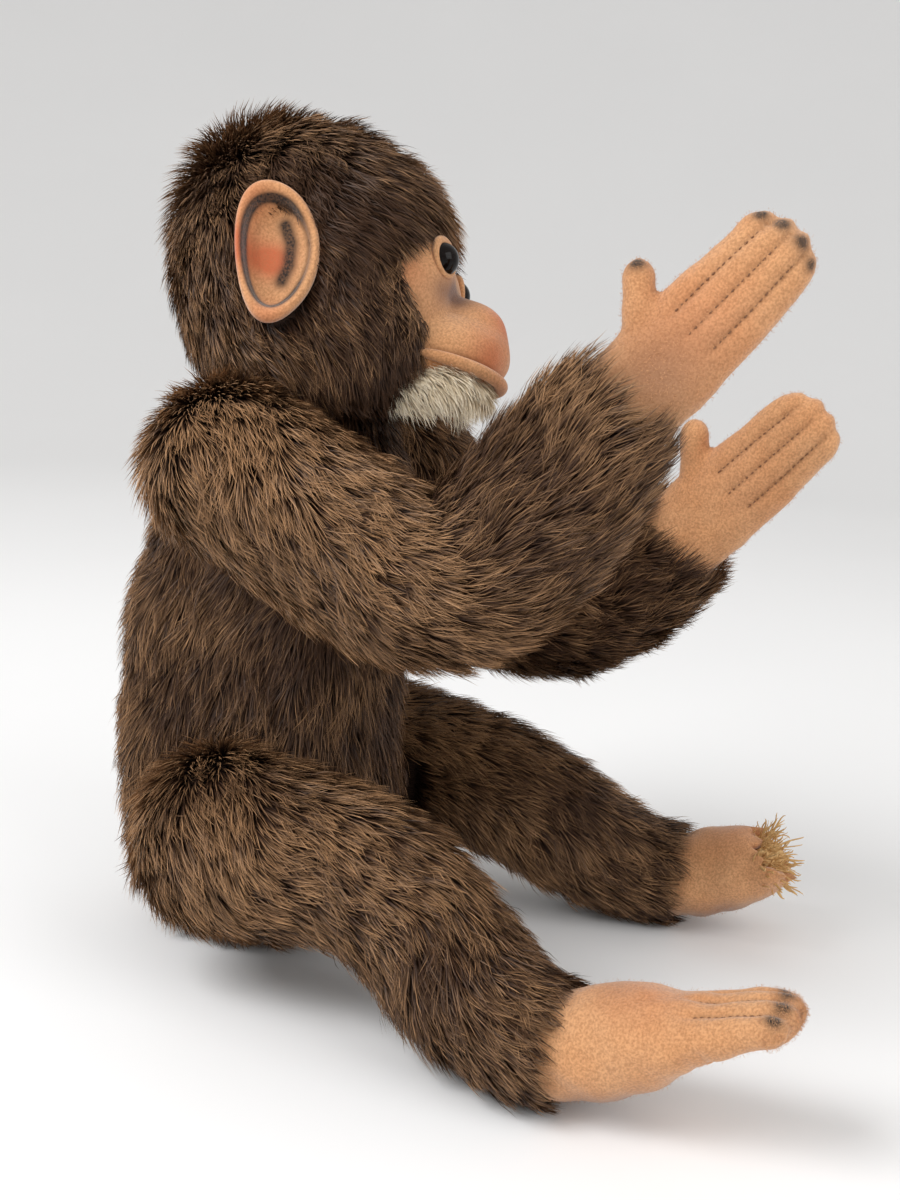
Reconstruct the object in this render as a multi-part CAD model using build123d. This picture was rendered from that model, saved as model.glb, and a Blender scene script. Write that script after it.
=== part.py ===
"""A jointed soft-toy chimpanzee, seated: mohair skins over packed wood wool, with felt face, ears,
hands and feet, glass eyes, and five disc joints (neck, shoulders, hips), each held by a cotter pin.

Frame, in millimetres: +Z is up, the toy faces -Y and its right side is at -X. The origin is on the
ground, in the middle plane. "right" and "left" are the toy's own.
"""
import math
import os

from build123d import *

# ---- Driving dimensions -------------------------------------------------------------------------
# Cloth and hardware
skin_cloth = 1.6            # woven mohair backing
felt_cloth = 1.8            # wool felt
stuffing_gap = 0.3          # room between any cloth and the packing behind it
joint_gap = 0.3             # between the two cloth faces that turn on each other
disc_thickness = 2.5        # hardboard joint disc
washer_thickness = 1.0
washer_radius = 6.0
disc_gap = 0.1              # between cloth and disc
pin_radius = 1.25           # the two legs of a cotter pin, closed
pin_clearance = 0.05        # running clearance, radial
pin_eye_radius = 2.6        # middle of the pin's eye
pin_eye_wire = 0.9
pin_curl_radius = 2.2       # middle of each rolled leg
pin_curl_wire = 0.6
neck_disc_radius = 14.0
shoulder_disc_radius = 9.0
hip_disc_radius = 11.0
pocket_gap = 0.6            # round each disc, in the packing

# Torso: heights, front-to-back centres and half sizes of its sections
torso_half_width = 38.0     # before the flat cheeks are taken off
torso_half_depth = 42.0
torso_side_flat = 27.85     # the flat cheeks that the limbs turn against
neck_height = 174.0
neck_axis_y = 2.0

# Head, in its own frame: centre of the skull
head_centre = (-1.4, -2.9, 36.2)   # the last is above the neck
head_turn = 15.0            # towards its left
head_lean = 20.0            # left side down
head_lift = 6.0             # chin up
skull_half_width = 37.0
skull_half_depth = 39.0
muzzle_reach = 57.0         # from the skull's centre to the tip
eye_radius = 5.0
eye_spread = 14.5
eye_height = -3.0
eye_depth = -39.5
eye_shank = 16.0
socket_clearance = 0.1
ear_height = 40.0
ear_width = 23.0
ear_cup = 8.0               # depth of the ear from rim to back
ear_rim = 2.8               # folded felt at the ear's edge
ear_sink = 1.5              # into the skull's side, where the two are sewn
ear_back = 4.0
right_ear_level = -9.0
left_ear_level = -2.0       # sewn higher, clear of the shoulder that the head leans to
ear_turn = 14.0
lip_width = 3.6
lip_height = -33.5

# Limbs: distance of their plane from the middle, and where the joints are
limb_plane = 47.0
shoulder_y = -3.0
shoulder_z = 156.8
hip_y = -1.0
hip_z = 46.5

# Arm, as lengths and angles in the limb's own plane
upper_arm = 70.5
forearm = 61.5
hand_length = 58.0
elbow_bend = 68.7
forearm_inward = 11.0       # sideways, over the forearm
hand_inward = 9.0           # sideways, over the hand
right_arm_pitch = -20.0
left_arm_pitch = -43.0
right_hand_bend = 1.0
left_hand_bend = 20.0
arm_half_width = 18.4       # across the toy
arm_half_height = 20.5
arm_end_half_width = 22.0   # at the shoulder, before the flat
wrist_half_width = 11.5
wrist_half_height = 14.5
hand_half_width = 13.2      # across the four fingers
hand_half_thickness = 6.6
finger_round = 8.0
thumb_radius = 4.6
thumb_length = 24.0
thumb_splay = 54.0

# Leg
knee = (48.2, -52.0, 41.6)      # distance from the middle, y, z
ankle = (62.0, -111.0, 16.0)
foot_length = 67.0
foot_rise = 25.0
leg_half_width = 18.4
leg_half_height = 22.5
ankle_radius = 16.0
foot_half_width = 13.8
foot_half_height = 13.2
toe_half_height = 5.0
toe_round = 8.0             # the rounding beyond the last full section
torn_length = 37.0          # what is left of the left foot's felt
straw_length = 8.0          # packing that stands out of the tear

DOME = (24, 48, 72)         # angles of the sections that round an end off
STATIONS = 10               # sections along a tube, less one


# ---- Small helpers --------------------------------------------------------------------------------
def oval(half_width, half_depth):
    """An ellipse whose seam is always on its first axis, so that lofted ovals never twist."""
    return scale(Circle(1), by=(half_width, half_depth, 1))


def section(origin, direction, half_width, half_height):
    """An oval across a limb: its first axis lies across the toy as far as the direction allows."""
    across = Vector(1, 0, 0) - direction * direction.X
    return Plane(origin, x_dir=across, z_dir=direction) * oval(half_width, half_height)


def between(sizes, fraction):
    """Half width and half height at a fraction of a path, from the rows on either side of it."""
    for (low, *first), (high, *second) in zip(sizes, sizes[1:]):
        if fraction <= high:
            share = (fraction - low) / (high - low)
            return [a + (b - a) * share for a, b in zip(first, second)]
    return sizes[-1][1:]


def rounded_end(origin, outward, reach, half_width, half_height):
    """The sections that round a tube off, from its last full section outward."""
    rows = []
    for angle in DOME:
        swing = math.radians(angle)
        place = origin + outward * reach * math.sin(swing)
        rows.append((place, half_width * math.cos(swing), half_height * math.cos(swing)))
    return rows


def packed_tube(path, sizes, inset=0.0, start_reach=0.0, end_reach=0.0):
    """A stuffed tube along a path, from (fraction, half width, half height) rows.

    A reach rounds that end off; with none the end is a flat cuff. The inside of the cloth is the
    same tube with an inset.
    """
    rows = []
    start, stop = sizes[0][0], sizes[-1][0]
    for index in range(STATIONS + 1):
        fraction = start + (stop - start) * index / STATIONS
        width, height = between(sizes, fraction)
        rows.append(section(path @ fraction, path % fraction, width - inset, height - inset))
    if start_reach:
        width, height = sizes[0][1] - inset, sizes[0][2] - inset
        ahead = path % 0
        for place, w, h in rounded_end(path @ 0, -ahead, start_reach - inset, width, height):
            rows.insert(0, section(place, ahead, w, h))
    if end_reach:
        width, height = sizes[-1][1] - inset, sizes[-1][2] - inset
        ahead = path % 1
        for place, w, h in rounded_end(path @ 1, ahead, end_reach - inset, width, height):
            rows.append(section(place, ahead, w, h))
    return loft(rows, ruled=True)


def stack(rows, inset=0.0):
    """A stuffed bag from level (height, middle y, half width, half depth) rows, lowest first."""
    levels = []
    last = len(rows) - 1
    for index, (height, middle, width, depth) in enumerate(rows):
        lift = inset if index == 0 else -inset if index == last else 0.0
        levels.append(Pos(0, middle, height + lift) * oval(width - inset, depth - inset))
    return loft(levels, ruled=True)


def ellipsoid(centre, radii, inset=0.0):
    """A ball stretched to three half sizes."""
    stretch = tuple(radius - inset for radius in radii)
    return Pos(*centre) * scale(Sphere(1), by=stretch)


def mirrored(shape):
    """The same piece on the toy's left."""
    return mirror(shape, Plane.YZ)


def save(name, shape):
    """Writes one node, as one solid or a group of them."""
    solids = shape.solids()
    body = solids[0] if len(solids) == 1 else Compound(children=solids)
    export_step(body, os.path.join("parts", name + ".step"))


# ---- Disc joints ----------------------------------------------------------------------------------
def cotter_pin():
    """A pin whose eye bears on the limb's washer, with its legs rolled outward beyond the body's."""
    depth = joint_gap / 2 + skin_cloth + disc_gap + disc_thickness + washer_thickness
    roll_top = -depth - joint_gap - pin_curl_wire
    eye = Pos(0, 0, depth + pin_eye_radius + pin_eye_wire) * Rot(90, 0, 0)
    eye = eye * Torus(pin_eye_radius, pin_eye_wire)
    shank_top = depth + pin_eye_wire * 1.5
    shank_bottom = roll_top - pin_curl_radius
    shank = Pos(0, 0, (shank_top + shank_bottom) / 2) * Cylinder(pin_radius, shank_top - shank_bottom)
    pin = eye + shank
    for side in (-1, 1):
        middle = side * (pin_radius - pin_curl_wire / 2 + pin_curl_radius)
        pin += Pos(middle, 0, roll_top - pin_curl_radius) * Rot(90, 0, 0) * Torus(pin_curl_radius, pin_curl_wire)
    return pin


def joint_pieces(place, disc_radius):
    """The five hard pieces of one joint, with local +Z pointing into the limb.

    Returns a dictionary of pieces, and the bores and pockets that the cloth and packing need.
    """
    face = joint_gap / 2 + skin_cloth + disc_gap
    reach = face + disc_thickness + washer_thickness
    bore = pin_radius + pin_clearance
    tail = reach + joint_gap + 2 * (pin_curl_radius + pin_curl_wire)
    head_room = reach + 2 * (pin_eye_radius + pin_eye_wire)

    def ring(radius, low, thickness):
        return Pos(0, 0, low + thickness / 2) * (Cylinder(radius, thickness) - Cylinder(bore, thickness))

    pieces = {
        "limb_disc": place * ring(disc_radius, face, disc_thickness),
        "limb_washer": place * ring(washer_radius, face + disc_thickness, washer_thickness),
        "body_disc": place * ring(disc_radius, -face - disc_thickness, disc_thickness),
        "body_washer": place * ring(washer_radius, -reach, washer_thickness),
        "cotter_pin": place * cotter_pin(),
    }
    pocket = disc_radius + pocket_gap
    limb_depth = head_room + pocket_gap - face + disc_gap
    body_depth = tail + pocket_gap - face + disc_gap
    room = {
        "bore": place * Cylinder(bore, 2 * (head_room + tail)),
        "limb": place * Pos(0, 0, face - disc_gap + limb_depth / 2) * Cylinder(pocket, limb_depth),
        "body": place * Pos(0, 0, -face + disc_gap - body_depth / 2) * Cylinder(pocket, body_depth),
    }
    seat = Cylinder(disc_radius + disc_gap, disc_thickness + washer_thickness + disc_gap)
    for end, side in (("limb", 1), ("body", -1)):
        room[end + "_seat"] = room["bore"] + place * Pos(0, 0, side * (face + reach) / 2) * seat
    return pieces, room


def cheek_joint(side, y, z, disc_radius):
    """A shoulder or hip joint: its plane is the torso's flat cheek."""
    x = side * (torso_side_flat + joint_gap / 2)
    return joint_pieces(Pos(x, y, z) * Rot(0, side * 90, 0), disc_radius)


neck_place = Pos(0, neck_axis_y, neck_height + joint_gap / 2)
joints = {
    "neck": joint_pieces(neck_place, neck_disc_radius),
    "right_shoulder": cheek_joint(-1, shoulder_y, shoulder_z, shoulder_disc_radius),
    "left_shoulder": cheek_joint(1, shoulder_y, shoulder_z, shoulder_disc_radius),
    "right_hip": cheek_joint(-1, hip_y, hip_z, hip_disc_radius),
    "left_hip": cheek_joint(1, hip_y, hip_z, hip_disc_radius),
}


# ---- Torso ----------------------------------------------------------------------------------------
def torso_bag(inset=0.0):
    """The pear-shaped body, flat where it sits, at the neck and at the four cheeks."""
    width, depth = torso_half_width, torso_half_depth
    top = neck_height
    rows = [
        (0, 13, 17, 20), (5, 13, 25, 29), (18, 14, 34, 37.5), (42, 15, width, depth - 0.5),
        (78, 15, width, depth), (108, 13.5, width, depth - 2.5), (top - 40, 9, width - 1, depth - 8),
        (top - 16, 4, width - 3, depth - 13), (top - 7, 2.5, width - 7, depth - 17.5),
        (top - 2, neck_axis_y, width - 15, depth - 18.5), (top, neck_axis_y, width - 18, depth - 21.5),
    ]
    bag = stack(rows, inset)
    flat = 2 * (torso_side_flat - inset)
    return bag & Pos(0, 15, top / 2) * Box(flat, 4 * depth, 2 * top)


def torso():
    """Skin and packing, with a bore and a pocket for each joint."""
    skin = torso_bag() - torso_bag(skin_cloth)
    packing = torso_bag(skin_cloth + stuffing_gap)
    for _, room in joints.values():
        skin -= room["body_seat"]
        packing -= room["body"]
    return {"torso_skin": skin, "torso_stuffing": packing}


# ---- Head -----------------------------------------------------------------------------------------
head_place = Pos(0, 0, neck_height) * Pos(*head_centre) * Rot(0, 0, head_turn) * Rot(0, head_lean, 0) * Rot(-head_lift, 0, 0)
above_neck = Pos(0, 0, neck_height + joint_gap + 100) * Box(400, 400, 200)


def skull(inset=0.0):
    """The round head with its narrower jaw, in the head's own frame."""
    width, depth = skull_half_width, skull_half_depth
    rows = [
        (-48, -10, 12, 13), (-43, -8, 22, 23), (-34, -5, width - 7, depth - 8),
        (-22, -2, width - 2.5, depth - 2.5), (-8, 0, width, depth), (6, 1, width, depth),
        (20, 2, width - 4, depth - 4), (31, 3, width - 11, depth - 11.5),
        (38, 4, width - 20, depth - 21), (41, 4, 8, 8),
    ]
    return stack(rows, inset)


def face_mask(inset=0.0):
    """Brow pad and muzzle dome, as one swelling at the front of the skull."""
    pad = ellipsoid((0, -13.5, -7), (25, 29, 25), inset)
    dome = ellipsoid((0, -36, -24), (18.5, muzzle_reach - 36, 15), inset)
    return pad + dome


def eye(side):
    """A glass ball on a wire shank that is anchored in the packing."""
    place = Pos(side * eye_spread, eye_depth, eye_height)
    return place * (Sphere(eye_radius) + Pos(0, eye_shank / 2, 0) * Rot(90, 0, 0) * Cylinder(0.8, eye_shank))


def eye_room(side, clearance):
    """The hollow that an eye sits in."""
    place = Pos(side * eye_spread, eye_depth, eye_height)
    shank = Pos(0, eye_shank / 2 + clearance / 2, 0) * Rot(90, 0, 0)
    shank = shank * Cylinder(0.8 + clearance, eye_shank + clearance)
    return place * (Sphere(eye_radius + clearance) + shank)


def ear(side):
    """A cupped felt ear with a raised rim, sewn to the side of the skull."""
    radii = (ear_cup, ear_width / 2, ear_height / 2)
    leaf = ellipsoid((-ear_cup, 0, 0), radii) - ellipsoid((-ear_cup, 0, 0), radii, ear_rim)
    leaf &= Pos(-ear_cup / 2, 0, 0) * Box(ear_cup, 2 * ear_width, 2 * ear_height)
    level = right_ear_level if side < 0 else left_ear_level
    place = Pos(-skull_half_width + ear_sink, ear_back, level) * Rot(0, 0, ear_turn)
    right = place * leaf - skull()
    return right if side < 0 else mirrored(right)


def head():
    """Every piece of the head, in the toy's frame."""
    outer = skull()
    felt = face_mask() - face_mask(felt_cloth) - outer
    packing = face_mask(felt_cloth + stuffing_gap) - skull(-stuffing_gap)
    band = Pos(0, -30, lip_height) * Rot(-14, 0, 0) * Box(100, 80, lip_width)
    mouth = ellipsoid((0, -36, -24), (20, muzzle_reach - 34.6, 16.5))
    lip = (mouth & band) - face_mask() - outer
    chin = ellipsoid((0, -31, -38), (15, 17, 11)) - face_mask() - outer - mouth
    skin = outer - skull(skin_cloth)
    filling = skull(skin_cloth + stuffing_gap)
    for side in (-1, 1):
        felt -= eye_room(side, socket_clearance)
        packing -= eye_room(side, stuffing_gap)
        skin -= eye_room(side, socket_clearance)
        filling -= eye_room(side, stuffing_gap)
    pieces = {
        "head_skin": skin, "head_stuffing": filling, "face_felt": felt, "muzzle_stuffing": packing,
        "lip_band": lip, "chin_patch": chin, "right_ear": ear(-1), "left_ear": ear(1),
        "right_eye": eye(-1), "left_eye": eye(1),
    }
    pieces = {name: head_place * shape for name, shape in pieces.items()}
    floor_skin = Pos(0, 0, neck_height + joint_gap + skin_cloth / 2) * Box(200, 200, skin_cloth)
    inside = head_place * skull() & floor_skin
    pieces["head_skin"] = (pieces["head_skin"] & above_neck) + inside - joints["neck"][1]["limb_seat"]
    lift = skin_cloth + stuffing_gap
    packing = pieces["head_stuffing"] & (Pos(0, 0, lift) * above_neck)
    pieces["head_stuffing"] = packing - joints["neck"][1]["limb"]
    pieces["chin_patch"] = pieces["chin_patch"] & above_neck
    return pieces


# ---- Arms -----------------------------------------------------------------------------------------
def step(start, angle, length, inward):
    """A point further along a right limb: angle above level, and a sideways move to the middle."""
    level = math.sqrt(length**2 - inward**2)
    swing = math.radians(angle)
    return start + Vector(inward, -level * math.cos(swing), level * math.sin(swing))


def arm_points(pitch, hand_bend):
    """Shoulder, elbow, wrist and fingertip of a right arm."""
    shoulder = Vector(-limb_plane, shoulder_y, shoulder_z)
    elbow = step(shoulder, pitch, upper_arm, 0)
    wrist = step(elbow, pitch + elbow_bend, forearm, forearm_inward)
    tip = step(wrist, pitch + elbow_bend + hand_bend, hand_length, hand_inward)
    return shoulder, elbow, wrist, tip


def sleeve(points, inset=0.0):
    """The mohair arm, from its round upper end to the open cuff."""
    shoulder, elbow, wrist, tip = points
    path = Spline(shoulder, elbow, wrist, tangents=(elbow - shoulder, tip - wrist))
    width, height = arm_half_width, arm_half_height
    sizes = [
        (0, arm_end_half_width, height + 0.5), (0.1, arm_end_half_width - 0.6, height + 0.5),
        (0.24, width, height + 0.5), (0.5, width, height), (0.75, width - 1.5, height - 0.5),
        (0.9, width - 3.5, height - 2.5), (1, wrist_half_width + 1.8, wrist_half_height + 1.2),
    ]
    if inset:
        sizes[-1] = (1 - inset / path.length, *sizes[-1][1:])
    tube = packed_tube(path, sizes, inset, start_reach=height + 0.5)
    cheek = -torso_side_flat - joint_gap - inset
    beyond = Pos(cheek + 50, shoulder_y, shoulder_z) * Rot(0, 90, 0) * Cylinder(27, 100)
    return tube - beyond


def mitt(points, inset=0.0):
    """The felt hand: four fingers in one flat paddle, and a thumb that stands off its upper edge."""
    wrist, tip = points[2], points[3]
    ahead = (tip - wrist).normalized()
    path = Line(wrist, tip - ahead * finger_round)
    thick, wide = hand_half_thickness, hand_half_width
    sizes = [
        (inset / path.length, wrist_half_width, wrist_half_height),
        (0.16, wrist_half_width - 2, wrist_half_height - 0.5), (0.4, thick + 1, wide + 0.8),
        (0.68, thick, wide), (1, thick - 1.2, wide - 2),
    ]
    paddle = packed_tube(path, sizes, inset, end_reach=finger_round)
    up = Vector(1, 0, 0).cross(ahead).normalized()
    up = up if up.Z > 0 else -up
    root = wrist + ahead * 15 + up * 5
    swing = math.radians(thumb_splay)
    lean = ahead * math.cos(swing) + up * math.sin(swing)
    radius = thumb_radius - inset
    reach = thumb_length - thumb_radius
    bar = Plane(root + lean * reach / 2, z_dir=lean) * Cylinder(radius, reach)
    cap = Pos(root + lean * reach) * Sphere(radius)
    return paddle + bar + cap


def arm(side, pitch, hand_bend, room):
    """Skin, packing, felt hand and the hand's own packing, for either side."""
    points = arm_points(pitch, hand_bend)
    pieces = {
        "arm_skin": sleeve(points) - sleeve(points, skin_cloth),
        "arm_stuffing": sleeve(points, skin_cloth + stuffing_gap),
        "hand_felt": mitt(points) - mitt(points, felt_cloth),
        "hand_stuffing": mitt(points, felt_cloth + stuffing_gap),
    }
    if side > 0:
        pieces = {name: mirrored(shape) for name, shape in pieces.items()}
    pieces["arm_skin"] -= room["limb_seat"]
    pieces["arm_stuffing"] -= room["limb"]
    return pieces


# ---- Legs -----------------------------------------------------------------------------------------
hip_point = Vector(-limb_plane, hip_y, hip_z)
knee_point = Vector(-knee[0], knee[1], knee[2])
ankle_point = Vector(-ankle[0], ankle[1], ankle[2])
foot_reach = math.sqrt(foot_length**2 - foot_rise**2)
toe_point = ankle_point + Vector(-1, -foot_reach, foot_rise)
shin_ahead = (ankle_point - knee_point).normalized()
foot_ahead = (toe_point - ankle_point).normalized()
heel_ahead = (shin_ahead + foot_ahead * 1.5).normalized()


def trouser(inset=0.0):
    """The mohair leg, from its round upper end to the open cuff above the heel."""
    shin = (ankle_point - knee_point).length
    tangents = ((knee_point - hip_point) * 2, heel_ahead * 2 * shin)
    path = Spline(hip_point, knee_point, ankle_point, tangents=tangents)
    width, height = leg_half_width, leg_half_height
    cuff = ankle_radius - 0.6
    sizes = [
        (0, width + 3.6, height + 1), (0.1, width + 2.8, height + 0.5), (0.25, width, height - 1.5),
        (0.45, width - 0.2, height - 3.5), (0.65, width - 1.2, height - 4.7), (0.85, cuff + 0.4, cuff + 0.6),
        (1, cuff, cuff),
    ]
    if inset:
        sizes[-1] = (1 - inset / path.length, *sizes[-1][1:])
    tube = packed_tube(path, sizes, inset, start_reach=height + 1)
    cheek = -torso_side_flat - joint_gap - inset
    beyond = Pos(cheek + 50, hip_y, hip_z) * Rot(0, 90, 0) * Cylinder(30, 100)
    return tube - beyond


def sock(inset=0.0):
    """The felt foot, high at the heel and thin at the toes."""
    bend = ankle_point + foot_ahead * foot_length * 0.42 + Vector(0, 0, -1.5)
    last = toe_point - foot_ahead * toe_round
    path = Spline(ankle_point, bend, last, tangents=(heel_ahead * foot_length, foot_ahead * foot_length))
    width, height, toe = foot_half_width, foot_half_height, toe_half_height
    sizes = [
        (inset / path.length, width, height), (0.2, width + 0.6, height), (0.45, width + 0.4, height - 1.4),
        (0.66, width - 0.3, height - 5), (0.85, width - 1.2, toe + 0.8), (1, width - 2.4, toe),
    ]
    return packed_tube(path, sizes, inset, end_reach=toe_round)


def tear_side(depth):
    """Everything beyond the ragged end of the torn foot, as a slanted half space."""
    place = Plane(ankle_point + foot_ahead * depth, z_dir=foot_ahead)
    return place * Rot(12, -8, 0) * Pos(0, 0, 50) * Box(120, 120, 100)


def leg(side, room):
    """Skin, packing, felt foot and the foot's packing; the left foot has lost its toes."""
    felt = sock() - sock(felt_cloth)
    packing = sock(felt_cloth + stuffing_gap)
    if side > 0:
        felt -= tear_side(torn_length)
        packing -= tear_side(torn_length + straw_length)
    pieces = {
        "leg_skin": trouser() - trouser(skin_cloth),
        "leg_stuffing": trouser(skin_cloth + stuffing_gap),
        "foot_felt": felt,
        "foot_stuffing": packing,
    }
    if side > 0:
        pieces = {name: mirrored(shape) for name, shape in pieces.items()}
    pieces["leg_skin"] -= room["limb_seat"]
    pieces["leg_stuffing"] -= room["limb"]
    return pieces


# ---- Every node -----------------------------------------------------------------------------------
os.makedirs("parts", exist_ok=True)
nodes = {**torso(), **head()}
for word, side, pitch, bend in (
    ("right", -1, right_arm_pitch, right_hand_bend),
    ("left", 1, left_arm_pitch, left_hand_bend),
):
    arm_pieces = arm(side, pitch, bend, joints[word + "_shoulder"][1])
    leg_pieces = leg(side, joints[word + "_hip"][1])
    for name, shape in {**arm_pieces, **leg_pieces}.items():
        nodes[word + "_" + name] = shape
for word, (pieces, _) in joints.items():
    for name, shape in pieces.items():
        nodes[word + "_" + name] = shape
for name, shape in nodes.items():
    save(name, shape)
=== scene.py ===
"""A jointed soft-toy chimpanzee, seated: mohair pile, painted felt face, ears, hands and feet, glass eyes.

Shapes are worked out in millimetres, in the toy's frame: +Z up, the toy faces -Y, its right side at -X.
"""
import logging
import math
from collections.abc import Callable, Sequence
from dataclasses import dataclass, field
from enum import Enum

import bpy
import numpy as np
from mathutils import Matrix


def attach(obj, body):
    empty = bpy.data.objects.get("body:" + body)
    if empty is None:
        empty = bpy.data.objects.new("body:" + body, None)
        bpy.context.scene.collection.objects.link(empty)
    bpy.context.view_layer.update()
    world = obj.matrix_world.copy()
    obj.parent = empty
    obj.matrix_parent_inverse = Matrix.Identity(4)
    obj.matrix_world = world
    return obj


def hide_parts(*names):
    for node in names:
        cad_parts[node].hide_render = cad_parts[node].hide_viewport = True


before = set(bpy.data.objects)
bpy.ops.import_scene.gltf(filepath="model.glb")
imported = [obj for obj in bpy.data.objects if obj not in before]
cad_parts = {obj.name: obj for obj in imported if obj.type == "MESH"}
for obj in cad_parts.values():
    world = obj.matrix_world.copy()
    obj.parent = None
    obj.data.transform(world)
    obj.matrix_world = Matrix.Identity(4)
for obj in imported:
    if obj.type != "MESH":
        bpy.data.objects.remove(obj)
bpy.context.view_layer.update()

MM = 0.001
LOG = logging.getLogger("chimpanzee")


class Side(Enum):
    """The toy's own right and left, as the sign of x."""

    RIGHT = -1
    LEFT = 1

    @property
    def word(self) -> str:
        """The side's name as the nodes spell it."""
        return self.name.lower()


class Shade(Enum):
    """The airbrushed colours on the felt, each in an attribute of its own; the dark one also holds painted
    shade.
    """

    DARK = "sprayed_dark_and_painted_shade"
    RED = "sprayed_red"
    VIOLET = "sprayed_violet"


Row = tuple[float, float, float, float]
Colour = tuple[float, float, float]
Socket = bpy.types.NodeSocket
Brush = Callable[[np.ndarray, np.ndarray], np.ndarray]


# ---- Small sums ------------------------------------------------------------------------------------
def unit(vectors: np.ndarray) -> np.ndarray:
    """Vectors over their own lengths."""
    return vectors / np.maximum(np.linalg.norm(vectors, axis=-1, keepdims=True), 1e-9)


def ease(value: np.ndarray, low: float, high: float) -> np.ndarray:
    """Rises from 0 at low to 1 at high as 3t^2 - 2t^3."""
    t = np.clip((value - low) / (high - low), 0, 1)
    return t * t * (3 - 2 * t)


def near(points: np.ndarray, centre: Sequence[float], reach: float) -> np.ndarray:
    """exp(-(distance / reach)^2) from one place."""
    gap = np.linalg.norm(points - np.asarray(centre, float), axis=-1)
    return np.exp(-((gap / reach) ** 2))


def near_line(points: np.ndarray, line: np.ndarray, reach: float) -> np.ndarray:
    """exp(-(distance / reach)^2) from the nearest stretch of a line of points."""
    best = np.full(points.shape[:-1], 1e9)
    for start, stop in zip(line[:-1], line[1:]):
        run = stop - start
        share = np.clip((points - start) @ run / max(float(run @ run), 1e-9), 0, 1)
        gap = np.linalg.norm(points - start - share[..., None] * run, axis=-1)
        best = np.minimum(best, gap)
    return np.exp(-((best / reach) ** 2))


def turned(angle: float, axis: int) -> np.ndarray:
    """The matrix that turns by an angle in degrees about x, y or z."""
    c, s = math.cos(math.radians(angle)), math.sin(math.radians(angle))
    i, j = (axis + 1) % 3, (axis + 2) % 3
    matrix = np.eye(3)
    matrix[i, i] = matrix[j, j] = c
    matrix[i, j], matrix[j, i] = -s, s
    return matrix


def ripple(points: np.ndarray, wavelength: float, seed: int) -> np.ndarray:
    """A smooth pattern from about -1 to 1: the mean of seven cosines of k.p + phase."""
    rng = np.random.default_rng(seed)
    waves = unit(rng.normal(size=(7, 3))) * 2 * np.pi / wavelength * rng.uniform(0.7, 1.4, (7, 1))
    return np.cos(points @ waves.T + rng.uniform(0, 6.28, 7)).mean(-1) * 2


def along_rows(knots: np.ndarray, values: np.ndarray, slopes: np.ndarray, t: np.ndarray) -> np.ndarray:
    """The cubic through each pair of rows that has the given slopes at both."""
    i = np.clip(np.searchsorted(knots, t, side="right") - 1, 0, len(knots) - 2)
    gap = (knots[i + 1] - knots[i])[..., None]
    s = ((t - knots[i]) / gap[..., 0])[..., None]
    first, last = values[i], values[i + 1]
    bend = gap * slopes[i] * (s**3 - 2 * s**2 + s) + gap * slopes[i + 1] * (s**3 - s**2)
    return first * (2 * s**3 - 3 * s**2 + 1) + last * (3 * s**2 - 2 * s**3) + bend


# ---- Shapes ----------------------------------------------------------------------------------------
@dataclass
class Spine:
    """A smooth line through a few points, with its direction given at both ends.

    It is the clamped cubic spline: the slopes at the inner points make the curvature continuous.
    """

    knots: np.ndarray
    leave: np.ndarray
    arrive: np.ndarray
    stations: np.ndarray = field(init=False)
    slopes: np.ndarray = field(init=False)

    def __post_init__(self) -> None:
        """Solves for the inner slopes."""
        steps = np.linalg.norm(np.diff(self.knots, axis=0), axis=1)
        self.stations = np.r_[0, np.cumsum(steps)] / steps.sum()
        h = np.diff(self.stations)
        count = len(self.knots)
        system = np.eye(count)
        right = np.zeros((count, 3))
        right[0], right[-1] = unit(self.leave) * steps.sum(), unit(self.arrive) * steps.sum()
        rise = np.diff(self.knots, axis=0) / h[:, None]
        inner = np.arange(1, count - 1)
        system[inner, inner - 1] = h[inner]
        system[inner, inner] = 2 * (h[inner - 1] + h[inner])
        system[inner, inner + 1] = h[inner - 1]
        right[inner] = 3 * (h[inner, None] * rise[inner - 1] + h[inner - 1, None] * rise[inner])
        self.slopes = np.linalg.solve(system, right)

    def at(self, t: np.ndarray) -> tuple[np.ndarray, np.ndarray]:
        """Places and unit directions.

        Args:
            t: shares of the length, from 0 to 1.

        Returns:
            The points, and the unit tangents there.
        """
        t = np.clip(t, 0, 1)
        here = along_rows(self.stations, self.knots, self.slopes, t)
        low = along_rows(self.stations, self.knots, self.slopes, np.clip(t - 2e-3, 0, 1))
        high = along_rows(self.stations, self.knots, self.slopes, np.clip(t + 2e-3, 0, 1))
        return here, unit(high - low)


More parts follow.
